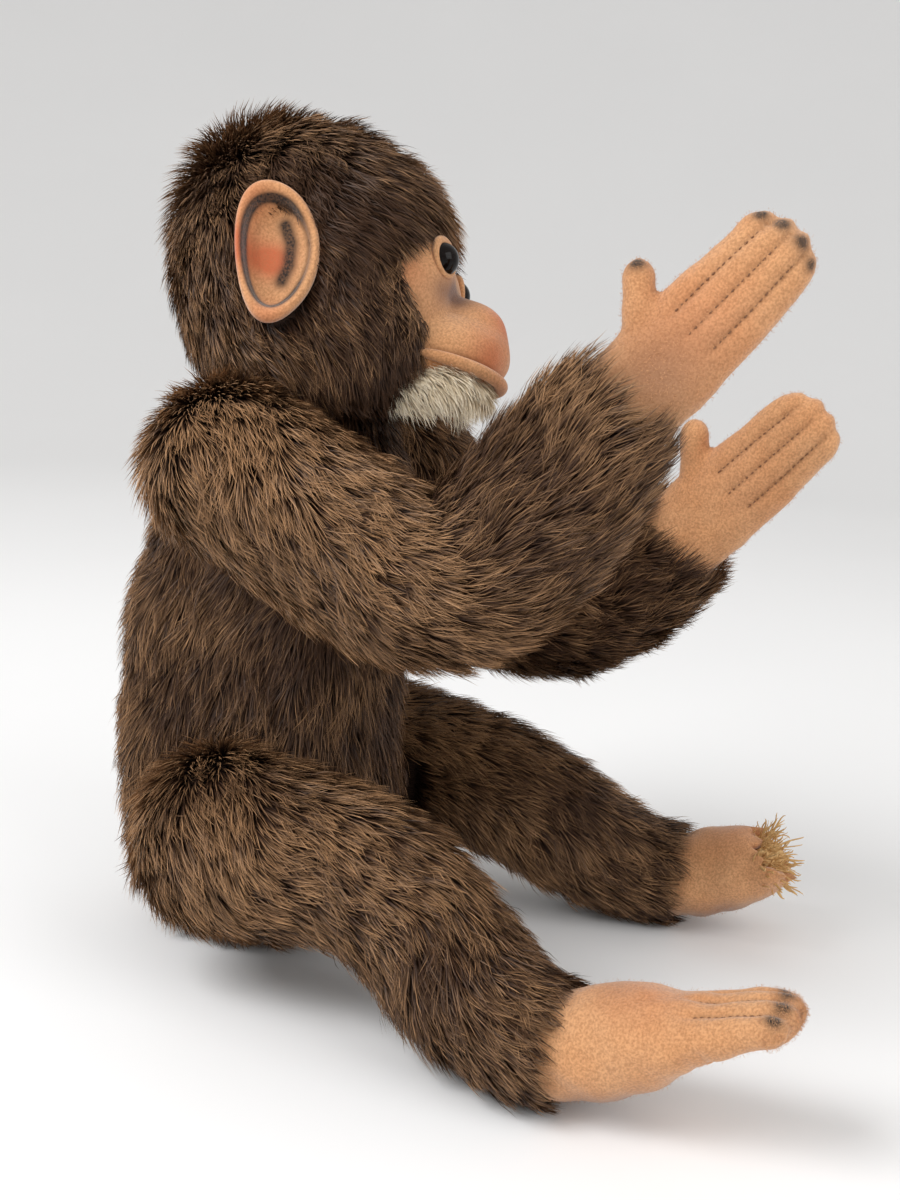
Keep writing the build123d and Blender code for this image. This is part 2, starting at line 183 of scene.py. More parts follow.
@dataclass
class Shell:
    """A closed surface: a grid of rings, with the middle of the first and last ring as its poles."""

    grid: np.ndarray

    def __post_init__(self) -> None:
        """Turns the rings round where the volume inside would come out negative."""
        if self.volume() < 0:
            self.grid = self.grid[:, ::-1]

    @property
    def points(self) -> np.ndarray:
        """All vertices, the two poles last."""
        poles = [self.grid[0].mean(0), self.grid[-1].mean(0)]
        return np.concatenate([self.grid.reshape(-1, 3), poles])

    @property
    def quads(self) -> np.ndarray:
        """The four corners of each face between two rings."""
        rings, around = self.grid.shape[:2]
        i, j = np.meshgrid(np.arange(rings - 1), np.arange(around), indexing="ij")
        beside = (j + 1) % around
        corners = [i * around + j, i * around + beside, (i + 1) * around + beside, (i + 1) * around + j]
        return np.stack(corners, -1).reshape(-1, 4)

    @property
    def fans(self) -> np.ndarray:
        """The triangles from each pole to its ring."""
        rings, around = self.grid.shape[:2]
        j = np.arange(around)
        beside, last = (j + 1) % around, (rings - 1) * around
        low = np.stack([np.full(around, rings * around), beside, j], 1)
        high = np.stack([np.full(around, rings * around + 1), last + j, last + beside], 1)
        return np.concatenate([low, high])

    @property
    def triangles(self) -> np.ndarray:
        """Every face as triangles."""
        quads = self.quads
        return np.concatenate([quads[:, :3], quads[:, [0, 2, 3]], self.fans])

    def volume(self) -> float:
        """A sixth of the sum of a.(b x c) over the triangles."""
        a, b, c = self.points[self.triangles].transpose(1, 0, 2)
        return float((a * np.cross(b, c)).sum() / 6)

    def normals(self) -> np.ndarray:
        """Unit normals at the vertices: the sum of the crosses of the triangles round each."""
        points, faces = self.points, self.triangles
        a, b, c = points[faces].transpose(1, 0, 2)
        cross = np.cross(b - a, c - a)
        total = np.zeros_like(points)
        for corner in range(3):
            np.add.at(total, faces[:, corner], cross)
        return unit(total)


def pressed(shell: Shell, side: Side, cheek: float, joint: Sequence[float], radius: float) -> Shell:
    """A limb flattened against the torso's cheek: |x| is at least cheek within a radius of its joint."""
    grid = shell.grid
    gap = np.hypot(grid[..., 1] - joint[0], grid[..., 2] - joint[1])
    share = 1 - ease(gap, radius, radius + 6)
    x = grid[..., 0] * side.value
    x = x + (np.maximum(x, cheek) - x) * share
    return Shell(np.concatenate([(x * side.value)[..., None], grid[..., 1:]], -1))


@dataclass
class Tube:
    """A stuffed tube: ovals of changing size along a spine, rounded off at either end by a reach.

    A point is centre(s) + across w(s) cos(a) + upright h(s) sin(a). Past an end, s runs on as an angle
    q from 0 to 90 degrees: the centre moves by reach sin(q) and the sizes shrink by cos(q).
    """

    spine: Spine
    rows: Sequence[tuple[float, float, float]]
    start_reach: float = 0.0
    end_reach: float = 0.0

    def frames(self, s: np.ndarray) -> tuple[np.ndarray, ...]:
        """Centre, across, upright, width and height of the section at each s from -1 to 2."""
        rows = np.array(self.rows, float)
        inner = np.clip(s, 0, 1)
        slopes = np.gradient(rows[:, 1:], rows[:, 0], axis=0)
        sizes = along_rows(rows[:, 0], rows[:, 1:], slopes, np.clip(inner, rows[0, 0], rows[-1, 0]))
        centre, ahead = self.spine.at(inner)
        across = unit(np.array([1.0, 0, 0]) - ahead * ahead[..., :1])
        upright = np.cross(ahead, across)
        over = np.where(s > 1, s - 1, np.where(s < 0, s, 0)) * np.pi / 2
        reach = np.where(s > 1, self.end_reach, self.start_reach)
        centre = centre + ahead * (reach * np.sin(over))[..., None]
        sizes = sizes * np.cos(over)[..., None]
        return centre, across, upright, sizes[..., 0], sizes[..., 1]

    def shell(self, rings: int, around: int, side: Side, inset: float = 0.0) -> Shell:
        """The whole surface as a closed shell. An end without a reach is closed flat.

        Args:
            rings: sections along the tube.
            around: points round each section.
            side: which of the toy's sides it is on.
            inset: how far inside the outer surface it lies, in millimetres.

        Returns:
            The shell, in the toy's frame.
        """
        start = -0.97 if self.start_reach else 0.0
        stop = 1.97 if self.end_reach else 1.0
        s = np.linspace(start, stop, rings)
        angle = np.arange(around) / around * 2 * np.pi
        centre, across, upright, wide, high = self.frames(s)
        over = np.clip(np.where(s > 1, 2 - s, np.where(s < 0, 1 + s, 1)), 0.05, 1)
        wide, high = wide - inset * over, high - inset * over
        cos, sin = np.cos(angle)[None, :, None], np.sin(angle)[None, :, None]
        grid = (
            centre[:, None]
            + across[:, None] * wide[:, None, None] * cos
            + upright[:, None] * high[:, None, None] * sin
        )
        if not self.start_reach:
            caps = [grid[:1] * k + grid[:1].mean(1, keepdims=True) * (1 - k) for k in (0.3, 0.7, 0.93)]
            grid = np.concatenate([*caps, grid])
        if not self.end_reach:
            caps = [grid[-1:] * k + grid[-1:].mean(1, keepdims=True) * (1 - k) for k in (0.93, 0.7, 0.3)]
            grid = np.concatenate([grid, *caps])
        if side is Side.LEFT:
            grid = grid * (-1, 1, 1)
        return Shell(grid)


def bag(rows: Sequence[Row], rings: int, around: int, inset: float = 0.0) -> Shell:
    """A stuffed bag from (height, middle y, half width, half depth) rows, smooth between them.

    The rows are spaced by their own arc length, and a point is (w cos a, middle + d sin a, height).
    """
    table = np.array(rows, float)
    steps = np.linalg.norm(np.diff(table[:, [0, 2]], axis=0), axis=1)
    knots = np.r_[0, np.cumsum(steps)] / steps.sum()
    t = np.linspace(0, 1, rings)
    z, middle, wide, deep = along_rows(knots, table, np.gradient(table, knots, axis=0), t).T[:, :, None]
    angle = np.arange(around)[None] / around * 2 * np.pi
    z = z + inset * np.linspace(1, -1, rings)[:, None] * 0.9
    x, y = (wide - inset) * np.cos(angle), middle + (deep - inset) * np.sin(angle)
    return Shell(np.stack([x, y, z + 0 * angle], -1))


def ball(centre: Sequence[float], radii: Sequence[float], rings: int = 24, around: int = 32) -> Shell:
    """An ellipsoid: centre + radii (cos a cos b, sin a cos b, sin b)."""
    b = np.linspace(-np.pi / 2 + 0.06, np.pi / 2 - 0.06, rings)[:, None]
    a = np.arange(around)[None] / around * 2 * np.pi
    grid = np.stack([np.cos(a) * np.cos(b), np.sin(a) * np.cos(b), np.sin(b) + 0 * a], -1)
    return Shell(np.asarray(centre, float) + grid * np.asarray(radii, float))


def cordlike(line: np.ndarray, radius: np.ndarray, around: int = 8, flat: float = 1.0) -> Shell:
    """A round strand along a line of points: p + r (n cos a + flat b sin a), with n and b square to it."""
    ahead = unit(np.gradient(line, axis=0))
    guide = np.array([0.31, 0.52, 0.8])
    n = unit(np.cross(ahead, guide))
    b = np.cross(ahead, n)
    a = np.arange(around)[None, :, None] / around * 2 * np.pi
    ring = n[:, None] * np.cos(a) + flat * b[:, None] * np.sin(a)
    return Shell(line[:, None] + ring * np.asarray(radius, float).reshape(-1, 1, 1))


# ---- From arrays to pieces --------------------------------------------------------------------------
@dataclass
class Net:
    """Vertices with their faces, before they become a mesh."""

    points: np.ndarray
    quads: np.ndarray
    fans: np.ndarray
    values: dict[str, np.ndarray] = field(default_factory=dict)
    strand_map: np.ndarray | None = None

    @classmethod
    def of(cls, shells: Sequence[Shell]) -> "Net":
        """Several closed surfaces as one net."""
        starts = np.cumsum([0] + [len(shell.points) for shell in shells])
        quads = [shell.quads + start for shell, start in zip(shells, starts)]
        fans = [shell.fans + start for shell, start in zip(shells, starts)]
        points = np.concatenate([shell.points for shell in shells])
        return cls(points, np.concatenate(quads), np.concatenate(fans))

    def mesh(self, name: str) -> bpy.types.Mesh:
        """The net as a smooth-shaded mesh in metres.

        Args:
            name: the mesh's name.

        Returns:
            The mesh, with each value as a point attribute and the strand map as UVs.
        """
        mesh = bpy.data.meshes.new(name)
        corners = np.concatenate([self.quads.ravel(), self.fans.ravel()]).astype(np.int32)
        starts = np.arange(len(self.quads)) * 4
        more = len(self.quads) * 4 + np.arange(len(self.fans)) * 3
        mesh.vertices.add(len(self.points))
        mesh.vertices.foreach_set("co", (self.points * MM).astype(np.float32).ravel())
        mesh.loops.add(len(corners))
        mesh.loops.foreach_set("vertex_index", corners)
        mesh.polygons.add(len(starts) + len(more))
        mesh.polygons.foreach_set("loop_start", np.concatenate([starts, more]).astype(np.int32))
        mesh.polygons.foreach_set("use_smooth", np.ones(len(starts) + len(more), bool))
        for word, values in self.values.items():
            layer = mesh.attributes.new(word, "FLOAT", "POINT")
            layer.data.foreach_set("value", values.astype(np.float32))
        if self.strand_map is not None:
            layer = mesh.uv_layers.new(name="OFBake")
            layer.uv.foreach_set("vector", self.strand_map[corners].astype(np.float32).ravel())
        mesh.update(calc_edges=True)
        mesh.validate()
        return mesh


def piece(
    name: str,
    net: Net,
    finish: bpy.types.Material,
    body: str,
    stands_for: Sequence[str] = (),
) -> bpy.types.Object:
    """Puts a net into the scene as one finished piece.

    Args:
        name: the piece's name.
        net: its surface.
        finish: its material.
        body: the body that it rides on.
        stands_for: the nodes that it replaces.

    Returns:
        The new object, at the origin, unturned and unscaled.
    """
    thing = bpy.data.objects.new(name, net.mesh(name))
    bpy.context.collection.objects.link(thing)
    thing.data.materials.append(finish)
    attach(thing, body)
    if stands_for:
        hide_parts(*stands_for)
    LOG.info("%s: %d faces", name, len(thing.data.polygons))
    return thing


def fused(shells: Sequence[Shell], voxel: float, rounds: int) -> tuple[Net, np.ndarray]:
    """Several overlapping closed surfaces as one skin.

    Args:
        shells: the closed surfaces.
        voxel: the size of the remesh, in millimetres.
        rounds: how often the skin is smoothed.

    Returns:
        The net, and the unit normals at its vertices.
    """
    mesh = Net.of(shells).mesh("rough")
    rough = bpy.data.objects.new("rough", mesh)
    bpy.context.collection.objects.link(rough)
    remesh = rough.modifiers.new("skin", "REMESH")
    remesh.mode, remesh.voxel_size, remesh.use_smooth_shade = "VOXEL", voxel * MM, True
    soften = rough.modifiers.new("soften", "SMOOTH")
    soften.factor, soften.iterations = 0.5, rounds
    depsgraph = bpy.context.evaluated_depsgraph_get()
    result = bpy.data.meshes.new_from_object(rough.evaluated_get(depsgraph))
    points = np.empty(len(result.vertices) * 3, np.float32)
    result.vertices.foreach_get("co", points)
    normals = np.empty(len(result.vertices) * 3, np.float32)
    result.vertices.foreach_get("normal", normals)
    corners = np.empty(len(result.loops), np.int32)
    result.loops.foreach_get("vertex_index", corners)
    bpy.data.objects.remove(rough)
    bpy.data.meshes.remove(mesh)
    bpy.data.meshes.remove(result)
    net = Net(points.reshape(-1, 3) / MM, corners.reshape(-1, 4), np.empty((0, 3), int))
    return net, unit(normals.reshape(-1, 3).astype(float))


# ---- Finishes ---------------------------------------------------------------------------------------
class Wiring:
    """Short forms for one material's nodes."""

    def __init__(self, name: str) -> None:
        """Starts an empty material with one Principled shader."""
        self.material = bpy.data.materials.new(name)
        self.material.use_nodes = True
        self.tree = self.material.node_tree
        self.tree.nodes.clear()
        self.shader = self.add("ShaderNodeBsdfPrincipled")
        output = self.add("ShaderNodeOutputMaterial")
        self.tree.links.new(self.shader.outputs[0], output.inputs["Surface"])

    def add(self, kind: str, **settings: object) -> bpy.types.Node:
        """A new node with the given properties."""
        node = self.tree.nodes.new(kind)
        for word, value in settings.items():
            setattr(node, word, value)
        return node

    def join(self, source: Socket, target: Socket) -> None:
        """One link."""
        self.tree.links.new(source, target)

    def places(self, scale: Colour = (1, 1, 1)) -> Socket:
        """Object coordinates, stretched by a scale."""
        source = self.add("ShaderNodeTexCoord")
        stretch = self.add("ShaderNodeMapping")
        stretch.inputs["Scale"].default_value = scale
        self.join(source.outputs["Object"], stretch.inputs["Vector"])
        return stretch.outputs["Vector"]

    def held(self, word: str) -> Socket:
        """The number that an attribute holds."""
        return self.add("ShaderNodeAttribute", attribute_name=word).outputs["Fac"]

    def noise(self, per_metre: float, detail: float, where: Socket) -> Socket:
        """Cloudy noise from 0 to 1."""
        node = self.add("ShaderNodeTexNoise")
        node.inputs["Scale"].default_value = per_metre
        node.inputs["Detail"].default_value = detail
        self.join(where, node.inputs["Vector"])
        return node.outputs["Fac"]

    def ramp(self, source: Socket, stops: Sequence[tuple[float, Colour]]) -> Socket:
        """Colours laid along a number."""
        node = self.add("ShaderNodeValToRGB")
        while len(node.color_ramp.elements) < len(stops):
            node.color_ramp.elements.new(0.5)
        for element, (place, colour) in zip(node.color_ramp.elements, stops):
            element.position, element.color = place, (*colour, 1)
        self.join(source, node.inputs["Fac"])
        return node.outputs["Color"]

    def mix(
        self, share: Socket | float, first: object, second: object, blend: str = "MIX"
    ) -> Socket:
        """Two colours by a share, each a socket or a fixed colour."""
        node = self.add("ShaderNodeMix", data_type="RGBA", blend_type=blend)
        for word, value in (("Factor", share), ("A", first), ("B", second)):
            socket = node.inputs[word]
            target = socket
            if socket.name in "AB":
                target = next(s for s in node.inputs if s.name == socket.name and s.type == "RGBA")
            if isinstance(value, Socket):
                self.join(value, target)
            else:
                target.default_value = (*value, 1) if isinstance(value, tuple) else value
        return next(s for s in node.outputs if s.type == "RGBA")

    def sums(self, operation: str, first: object, second: object) -> Socket:
        """One clamped sum on two numbers."""
        node = self.add("ShaderNodeMath", operation=operation, use_clamp=True)
        for socket, value in zip(node.inputs, (first, second)):
            if isinstance(value, Socket):
                self.join(value, socket)
            else:
                socket.default_value = value
        return node.outputs[0]

    def bumpy(self, height: Socket, strength: float, distance: float) -> None:
        """Tilts the surface by a height."""
        node = self.add("ShaderNodeBump")
        node.inputs["Strength"].default_value = strength
        node.inputs["Distance"].default_value = distance
        self.join(height, node.inputs["Height"])
        self.join(node.outputs["Normal"], self.shader.inputs["Normal"])

    def set(self, **values: object) -> None:
        """Fixed values on the shader's own sockets, with _ for a space."""
        for word, value in values.items():
            self.shader.inputs[word.replace("_", " ")].default_value = value


@dataclass(frozen=True)
class Mohair:
    """Pile whose colour runs from root to tip, with lighter and darker strands, and painted light and shade
    in their tone.
    """

    name: str
    root: Colour
    middle: Colour
    tip: Colour
    pale_tip: Colour

    def make(self) -> bpy.types.Material:
        """The material, reading each strand's tone and how far up it a point is."""
        w = Wiring(self.name)
        reach, tone = w.held("strand_reach"), w.held("strand_tone")
        dark = w.ramp(reach, [(0.0, self.root), (0.5, self.middle), (1.0, self.tip)])
        pale = w.ramp(reach, [(0.0, self.root), (0.40, self.middle), (1.0, self.pale_tip)])
        w.join(w.mix(tone, dark, pale), w.shader.inputs["Base Color"])
        w.set(Roughness=0.5, Specular_IOR_Level=0.24, Sheen_Weight=0.0, Sheen_Roughness=0.4)
        return w.material


@dataclass(frozen=True)
class Backing:
    """Woven cloth under the pile, in the pile's root colour."""

    name: str
    warp: Colour
    weft: Colour

    def make(self) -> bpy.types.Material:
        """The material: a plain weave as two crossed waves."""
        w = Wiring(self.name)
        where = w.places()
        cloud = w.noise(180, 3, where)
        wave = w.add("ShaderNodeTexWave", bands_direction="Z")
        wave.inputs["Scale"].default_value = 420
        wave.inputs["Distortion"].default_value = 2.0
        w.join(where, wave.inputs["Vector"])
        share = w.sums("MULTIPLY", wave.outputs["Fac"], cloud)
        w.join(w.mix(share, self.warp, self.weft), w.shader.inputs["Base Color"])
        w.set(Roughness=0.9, Specular_IOR_Level=0.2)
        w.bumpy(wave.outputs["Fac"], 0.4, 0.0002)
        return w.material


@dataclass(frozen=True)
class Felt:
    """Wool felt: matted fibres, soft mottling, the airbrushed shades and painted shade in hollows and
    creases.
    """

    name: str
    base: Colour
    warm: Colour
    worn: Colour
    # dark: the airbrushed dark paint, also the colour of the painted shade in hollows and creases.
    dark: Colour = (0.022, 0.015, 0.012)
    red: Colour = (0.50, 0.085, 0.030)
    violet: Colour = (0.105, 0.055, 0.050)

    def make(self) -> bpy.types.Material:
        """The material: mottle, then each shade over it by its attribute, and fibres in the bump."""
        w = Wiring(self.name)
        where = w.places()
        cloud, fibre = w.noise(55, 4, where), w.noise(1500, 5, where)
        grain = w.noise(5200, 3, where)
        mottled = w.mix(w.ramp(cloud, [(0.35, (0, 0, 0)), (0.7, (1, 1, 1))]), self.base, self.warm)
        spread = w.ramp(fibre, [(0.36, (0.66, 0.62, 0.58)), (0.62, (1.08, 1.08, 1.08))])
        colour = w.mix(0.75, mottled, spread, "MULTIPLY")
        colour = w.mix(w.ramp(grain, [(0.62, (0, 0, 0)), (0.8, (0.35, 0.35, 0.35))]), colour, self.worn)
        for shade, paint in ((Shade.RED, self.red), (Shade.VIOLET, self.violet), (Shade.DARK, self.dark)):
            patches = w.sums("ADD", w.sums("MULTIPLY", fibre, 0.9), 0.45)
            patchy = w.sums("MULTIPLY", w.held(shade.value), patches)
            colour = w.mix(patchy, colour, paint)
        w.join(colour, w.shader.inputs["Base Color"])
        w.set(Roughness=0.95, Specular_IOR_Level=0.12, Sheen_Weight=0.35, Sheen_Roughness=0.5)
        w.bumpy(w.sums("ADD", w.sums("MULTIPLY", fibre, 0.7), w.sums("MULTIPLY", grain, 0.3)), 0.55, 0.0005)
        return w.material


@dataclass(frozen=True)
class EyeGlass:
    """Near-black glass with a brown depth."""

    name: str = "eye_glass_dark"

    def make(self) -> bpy.types.Material:
        """The material: a faintly clouded dark body under a clear coat."""
        w = Wiring(self.name)
        cloud = w.noise(400, 2, w.places())
        w.join(w.mix(cloud, (0.002, 0.0016, 0.0016), (0.008, 0.004, 0.003)), w.shader.inputs["Base Color"])
        w.set(Roughness=0.09, IOR=1.45, Specular_IOR_Level=0.16, Coat_Weight=0.03, Coat_Roughness=0.02)
        return w.material


@dataclass(frozen=True)
class Fibres:
    """Wood wool or thread: pale strands with streaks along them."""

    name: str
    pale: Colour
    deep: Colour
    rough: float = 0.7

    def make(self) -> bpy.types.Material:
        """The material: fine streaks and a soft bump."""
        w = Wiring(self.name)
        where = w.places((1, 1, 0.25))
        streak = w.noise(1400, 4, where)
        w.join(w.mix(streak, self.deep, self.pale), w.shader.inputs["Base Color"])
        w.set(Roughness=self.rough, Specular_IOR_Level=0.3)
        w.bumpy(streak, 0.3, 0.0003)
        return w.material


@dataclass(frozen=True)
class PressedBoard:
    """Hardboard: brown, flecked, matt."""

    name: str = "hardboard_flecked"

    def make(self) -> bpy.types.Material:
        """The material: flecks of two browns."""
        w = Wiring(self.name)
        fleck = w.noise(900, 6, w.places())
        browns = w.ramp(fleck, [(0.35, (0.09, 0.045, 0.02)), (0.65, (0.2, 0.11, 0.055))])
        w.join(browns, w.shader.inputs["Base Color"])
        w.set(Roughness=0.85)
        w.bumpy(fleck, 0.3, 0.0002)
        return w.material


@dataclass(frozen=True)
class DrawnSteel:
    """Steel wire and washers with drawn streaks."""

    name: str = "steel_drawn"

    def make(self) -> bpy.types.Material:
        """The material: grey metal whose roughness is streaked."""
        w = Wiring(self.name)
        streak = w.noise(2600, 2, w.places((1, 1, 0.1)))
        greys = w.ramp(streak, [(0.3, (0.38, 0.37, 0.36)), (0.7, (0.56, 0.55, 0.54))])
        w.join(greys, w.shader.inputs["Base Color"])
        w.join(w.ramp(streak, [(0.3, (0.28,) * 3), (0.7, (0.45,) * 3)]), w.shader.inputs["Roughness"])
        w.set(Metallic=1.0)
        return w.material


class Wardrobe:
    """Every finish of the toy, made once."""

    def __init__(self) -> None:
        """Makes the materials."""
        self.mohair = Mohair(
            "mohair_brown", (0.010, 0.0048, 0.003), (0.046, 0.0205, 0.0105), (0.070, 0.032, 0.015),
            (0.62, 0.345, 0.165),
        ).make()
        self.white_mohair = Mohair(
            "mohair_white", (0.6, 0.5, 0.36), (0.80, 0.66, 0.46), (0.93, 0.84, 0.66), (0.97, 0.91, 0.78)
        ).make()
        self.backing = Backing("backing_brown", (0.018, 0.009, 0.006), (0.04, 0.02, 0.011)).make()
        self.white_backing = Backing("backing_cream", (0.42, 0.35, 0.26), (0.55, 0.48, 0.38)).make()
        self.felt = Felt("felt_peach", (0.61, 0.30, 0.135), (0.66, 0.355, 0.175), (0.74, 0.49, 0.29)).make()
        self.glass = EyeGlass().make()
        self.wood_wool = Fibres("wood_wool_straw", (0.80, 0.53, 0.24), (0.45, 0.25, 0.09)).make()
        self.thread = Fibres("thread_tan", (0.27, 0.135, 0.07), (0.17, 0.085, 0.045), 0.6).make()
        self.board = PressedBoard().make()
        self.steel = DrawnSteel().make()


# ---- Pile -------------------------------------------------------------------------------------------
@dataclass(frozen=True)
class Pile:
    """How a pile is grown: every strand is a narrow tapered blade of five triangles.

    A strand's line is root + L (t (1 - b t) (n cos q + f sin q) + b t^2 f) + clump t^2, where n is the
    surface normal, f the way it is brushed, q its lean and b its bend. The clump term slides down the
    slope of a rippled field, so that tips draw together into locks.
    """

    density: float = 2.0
    length: float = 13.0
    lean: float = 50.0
    bend: float = 0.45
    width: float = 0.16
    clump: float = 2.6
    lock: float = 8.0
    stray: float = 0.13
    tone: float = 0.42

    def grow(
        self,
        shell: Shell,
        brush: Brush,
        keep: Brush,
        seed: int,
        shape: Callable[[np.ndarray], tuple[np.ndarray, np.ndarray]] | None = None,
        shade: Callable[[np.ndarray], np.ndarray] | None = None,
    ) -> np.ndarray:
        """Grows strands over a shell.

        Args:
            shell: the cloth that the strands are woven into.
            brush: the way the pile is brushed, from places and normals.
            keep: the share of strands kept at each place, from places and normals.
            seed: the seed of every random draw.
            shape: gives the length and lean factors at each place, if they change over the surface.
            shade: gives the painted light and shade added to the tone at each place, if it changes over the
                surface.

        Returns:
            The strands, as (count, 7 vertices, x y z and tone and reach).
        """
        rng = np.random.default_rng(seed)
        points, faces, normals = shell.points, shell.triangles, shell.normals()
        a, b, c = points[faces].transpose(1, 0, 2)
        area = np.linalg.norm(np.cross(b - a, c - a), axis=1) / 2
        count = int(area.sum() * self.density)
        chosen = rng.choice(len(faces), count, p=area / area.sum())
        weights = rng.dirichlet((1, 1, 1), count)
        root = (points[faces[chosen]] * weights[:, :, None]).sum(1)
        normal = unit((normals[faces[chosen]] * weights[:, :, None]).sum(1))
        kept = rng.uniform(size=count) < keep(root, normal)
        root, normal = root[kept], normal[kept]
        count = len(root)
        way = brush(root, normal)
        way = unit(way - normal * (way * normal).sum(1, keepdims=True))
        aside = np.cross(normal, way)
        sway = ripple(root, 26, seed + 1)[:, None] * 0.35 + rng.normal(0, 0.16, (count, 1))
        way = unit(way + aside * sway)
        stretch, upright = shape(root) if shape else (np.ones(count), np.ones(count))
        length = self.length * stretch * rng.uniform(0.68, 1.12, count)
        length = length * (1 + 0.12 * ripple(root, 17, seed + 2))
        lean = np.radians(self.lean) * upright * (1 + 0.14 * ripple(root, 12, seed + 3))
        lean = lean + rng.normal(0, self.stray, count)
        start = normal * np.cos(lean)[:, None] + way * np.sin(lean)[:, None]
        waves = unit(rng.normal(size=(6, 3))) * 2 * np.pi / self.lock * rng.uniform(0.75, 1.3, (6, 1))
        slope = -np.sin(root @ waves.T + rng.uniform(0, 6.28, 6)) @ unit(waves)
        slope -= normal * (slope * normal).sum(1, keepdims=True)
        t = np.array([0, 0.34, 0.7, 1.0])[None, :, None]
        line = root[:, None] + length[:, None, None] * (
            t * (1 - self.bend * t) * start[:, None] + self.bend * t**2 * way[:, None]
        )
        line = line + slope[:, None] * self.clump * 0.5 * t**2 + rng.normal(0, 0.35, (count, 1, 3)) * t
        twist = rng.uniform(-0.7, 0.7, (count, 1))
        flat = unit(np.cross(start, normal) * np.cos(twist) + normal * np.sin(twist))
        half = self.width * rng.uniform(0.75, 1.3, (count, 1, 1)) * np.array([1.0, 0.9, 0.6])[None, :, None]
        low, high = line[:, :3] - flat[:, None] * half, line[:, :3] + flat[:, None] * half
        sides = [edge[:, k] for k in range(3) for edge in (low, high)]
        blades = np.stack([*sides, line[:, 3]], 1)
        floor = 0.3 + 0.5 * rng.uniform(size=(count, 1))
        blades[:, :, 2] = np.maximum(blades[:, :, 2], floor)
        # Painted light and shade: each part's base tone and its shade make the pile paler where light falls
        # and darker where shade falls.
        base = self.tone + (shade(root) if shade else 0)
        tone = np.clip(base + 0.28 * ripple(root, 34, seed + 4) + 0.24 * ripple(root, 7, seed + 5)
                       + rng.normal(0, 0.22, count), 0.02, 0.98)
        reach = np.broadcast_to(np.array([0, 0, 0.34, 0.34, 0.7, 0.7, 1.0]), (count, 7))
        tones = np.broadcast_to(tone[:, None], (count, 7))
        return np.concatenate([blades, tones[..., None], reach[..., None]], 2)


def strands_net(blades: np.ndarray) -> Net:
    """Strands as a net, with tone and reach at each vertex and a map of tone by reach."""
    count = len(blades)
    flat = blades.reshape(-1, 5)
    base = np.arange(count)[:, None] * 7
    quads = np.concatenate([base + (0, 1, 3, 2), base + (2, 3, 5, 4)])
    fans = base + np.array([4, 5, 6])
    shift = np.tile([-1, 1, -1, 1, -1, 1, 0], count) * 0.003
    strand_map = np.stack([0.02 + 0.96 * flat[:, 3] + shift, 0.01 + 0.98 * flat[:, 4]], 1)
    values = {"strand_tone": flat[:, 3], "strand_reach": flat[:, 4]}
    return Net(flat[:, :3], quads, fans, values, strand_map)


def lay_pile(
    name: str, blades: np.ndarray, finish: bpy.types.Material, body: str, parts: int, axis: int
) -> None:
    """Puts strands into the scene as a few pieces, cut across one axis.

    Args:
        name: the first words of each piece's name.
        blades: the strands.
        finish: their material.
        body: the body that they ride on.
        parts: how many pieces.
        axis: the axis along which they are shared out.
    """
    order = np.argsort(blades[:, 0, axis])
    for number, chosen in enumerate(np.array_split(order, parts), 1):
        piece(f"{name}_pile_{number}", strands_net(blades[chosen]), finish, body)


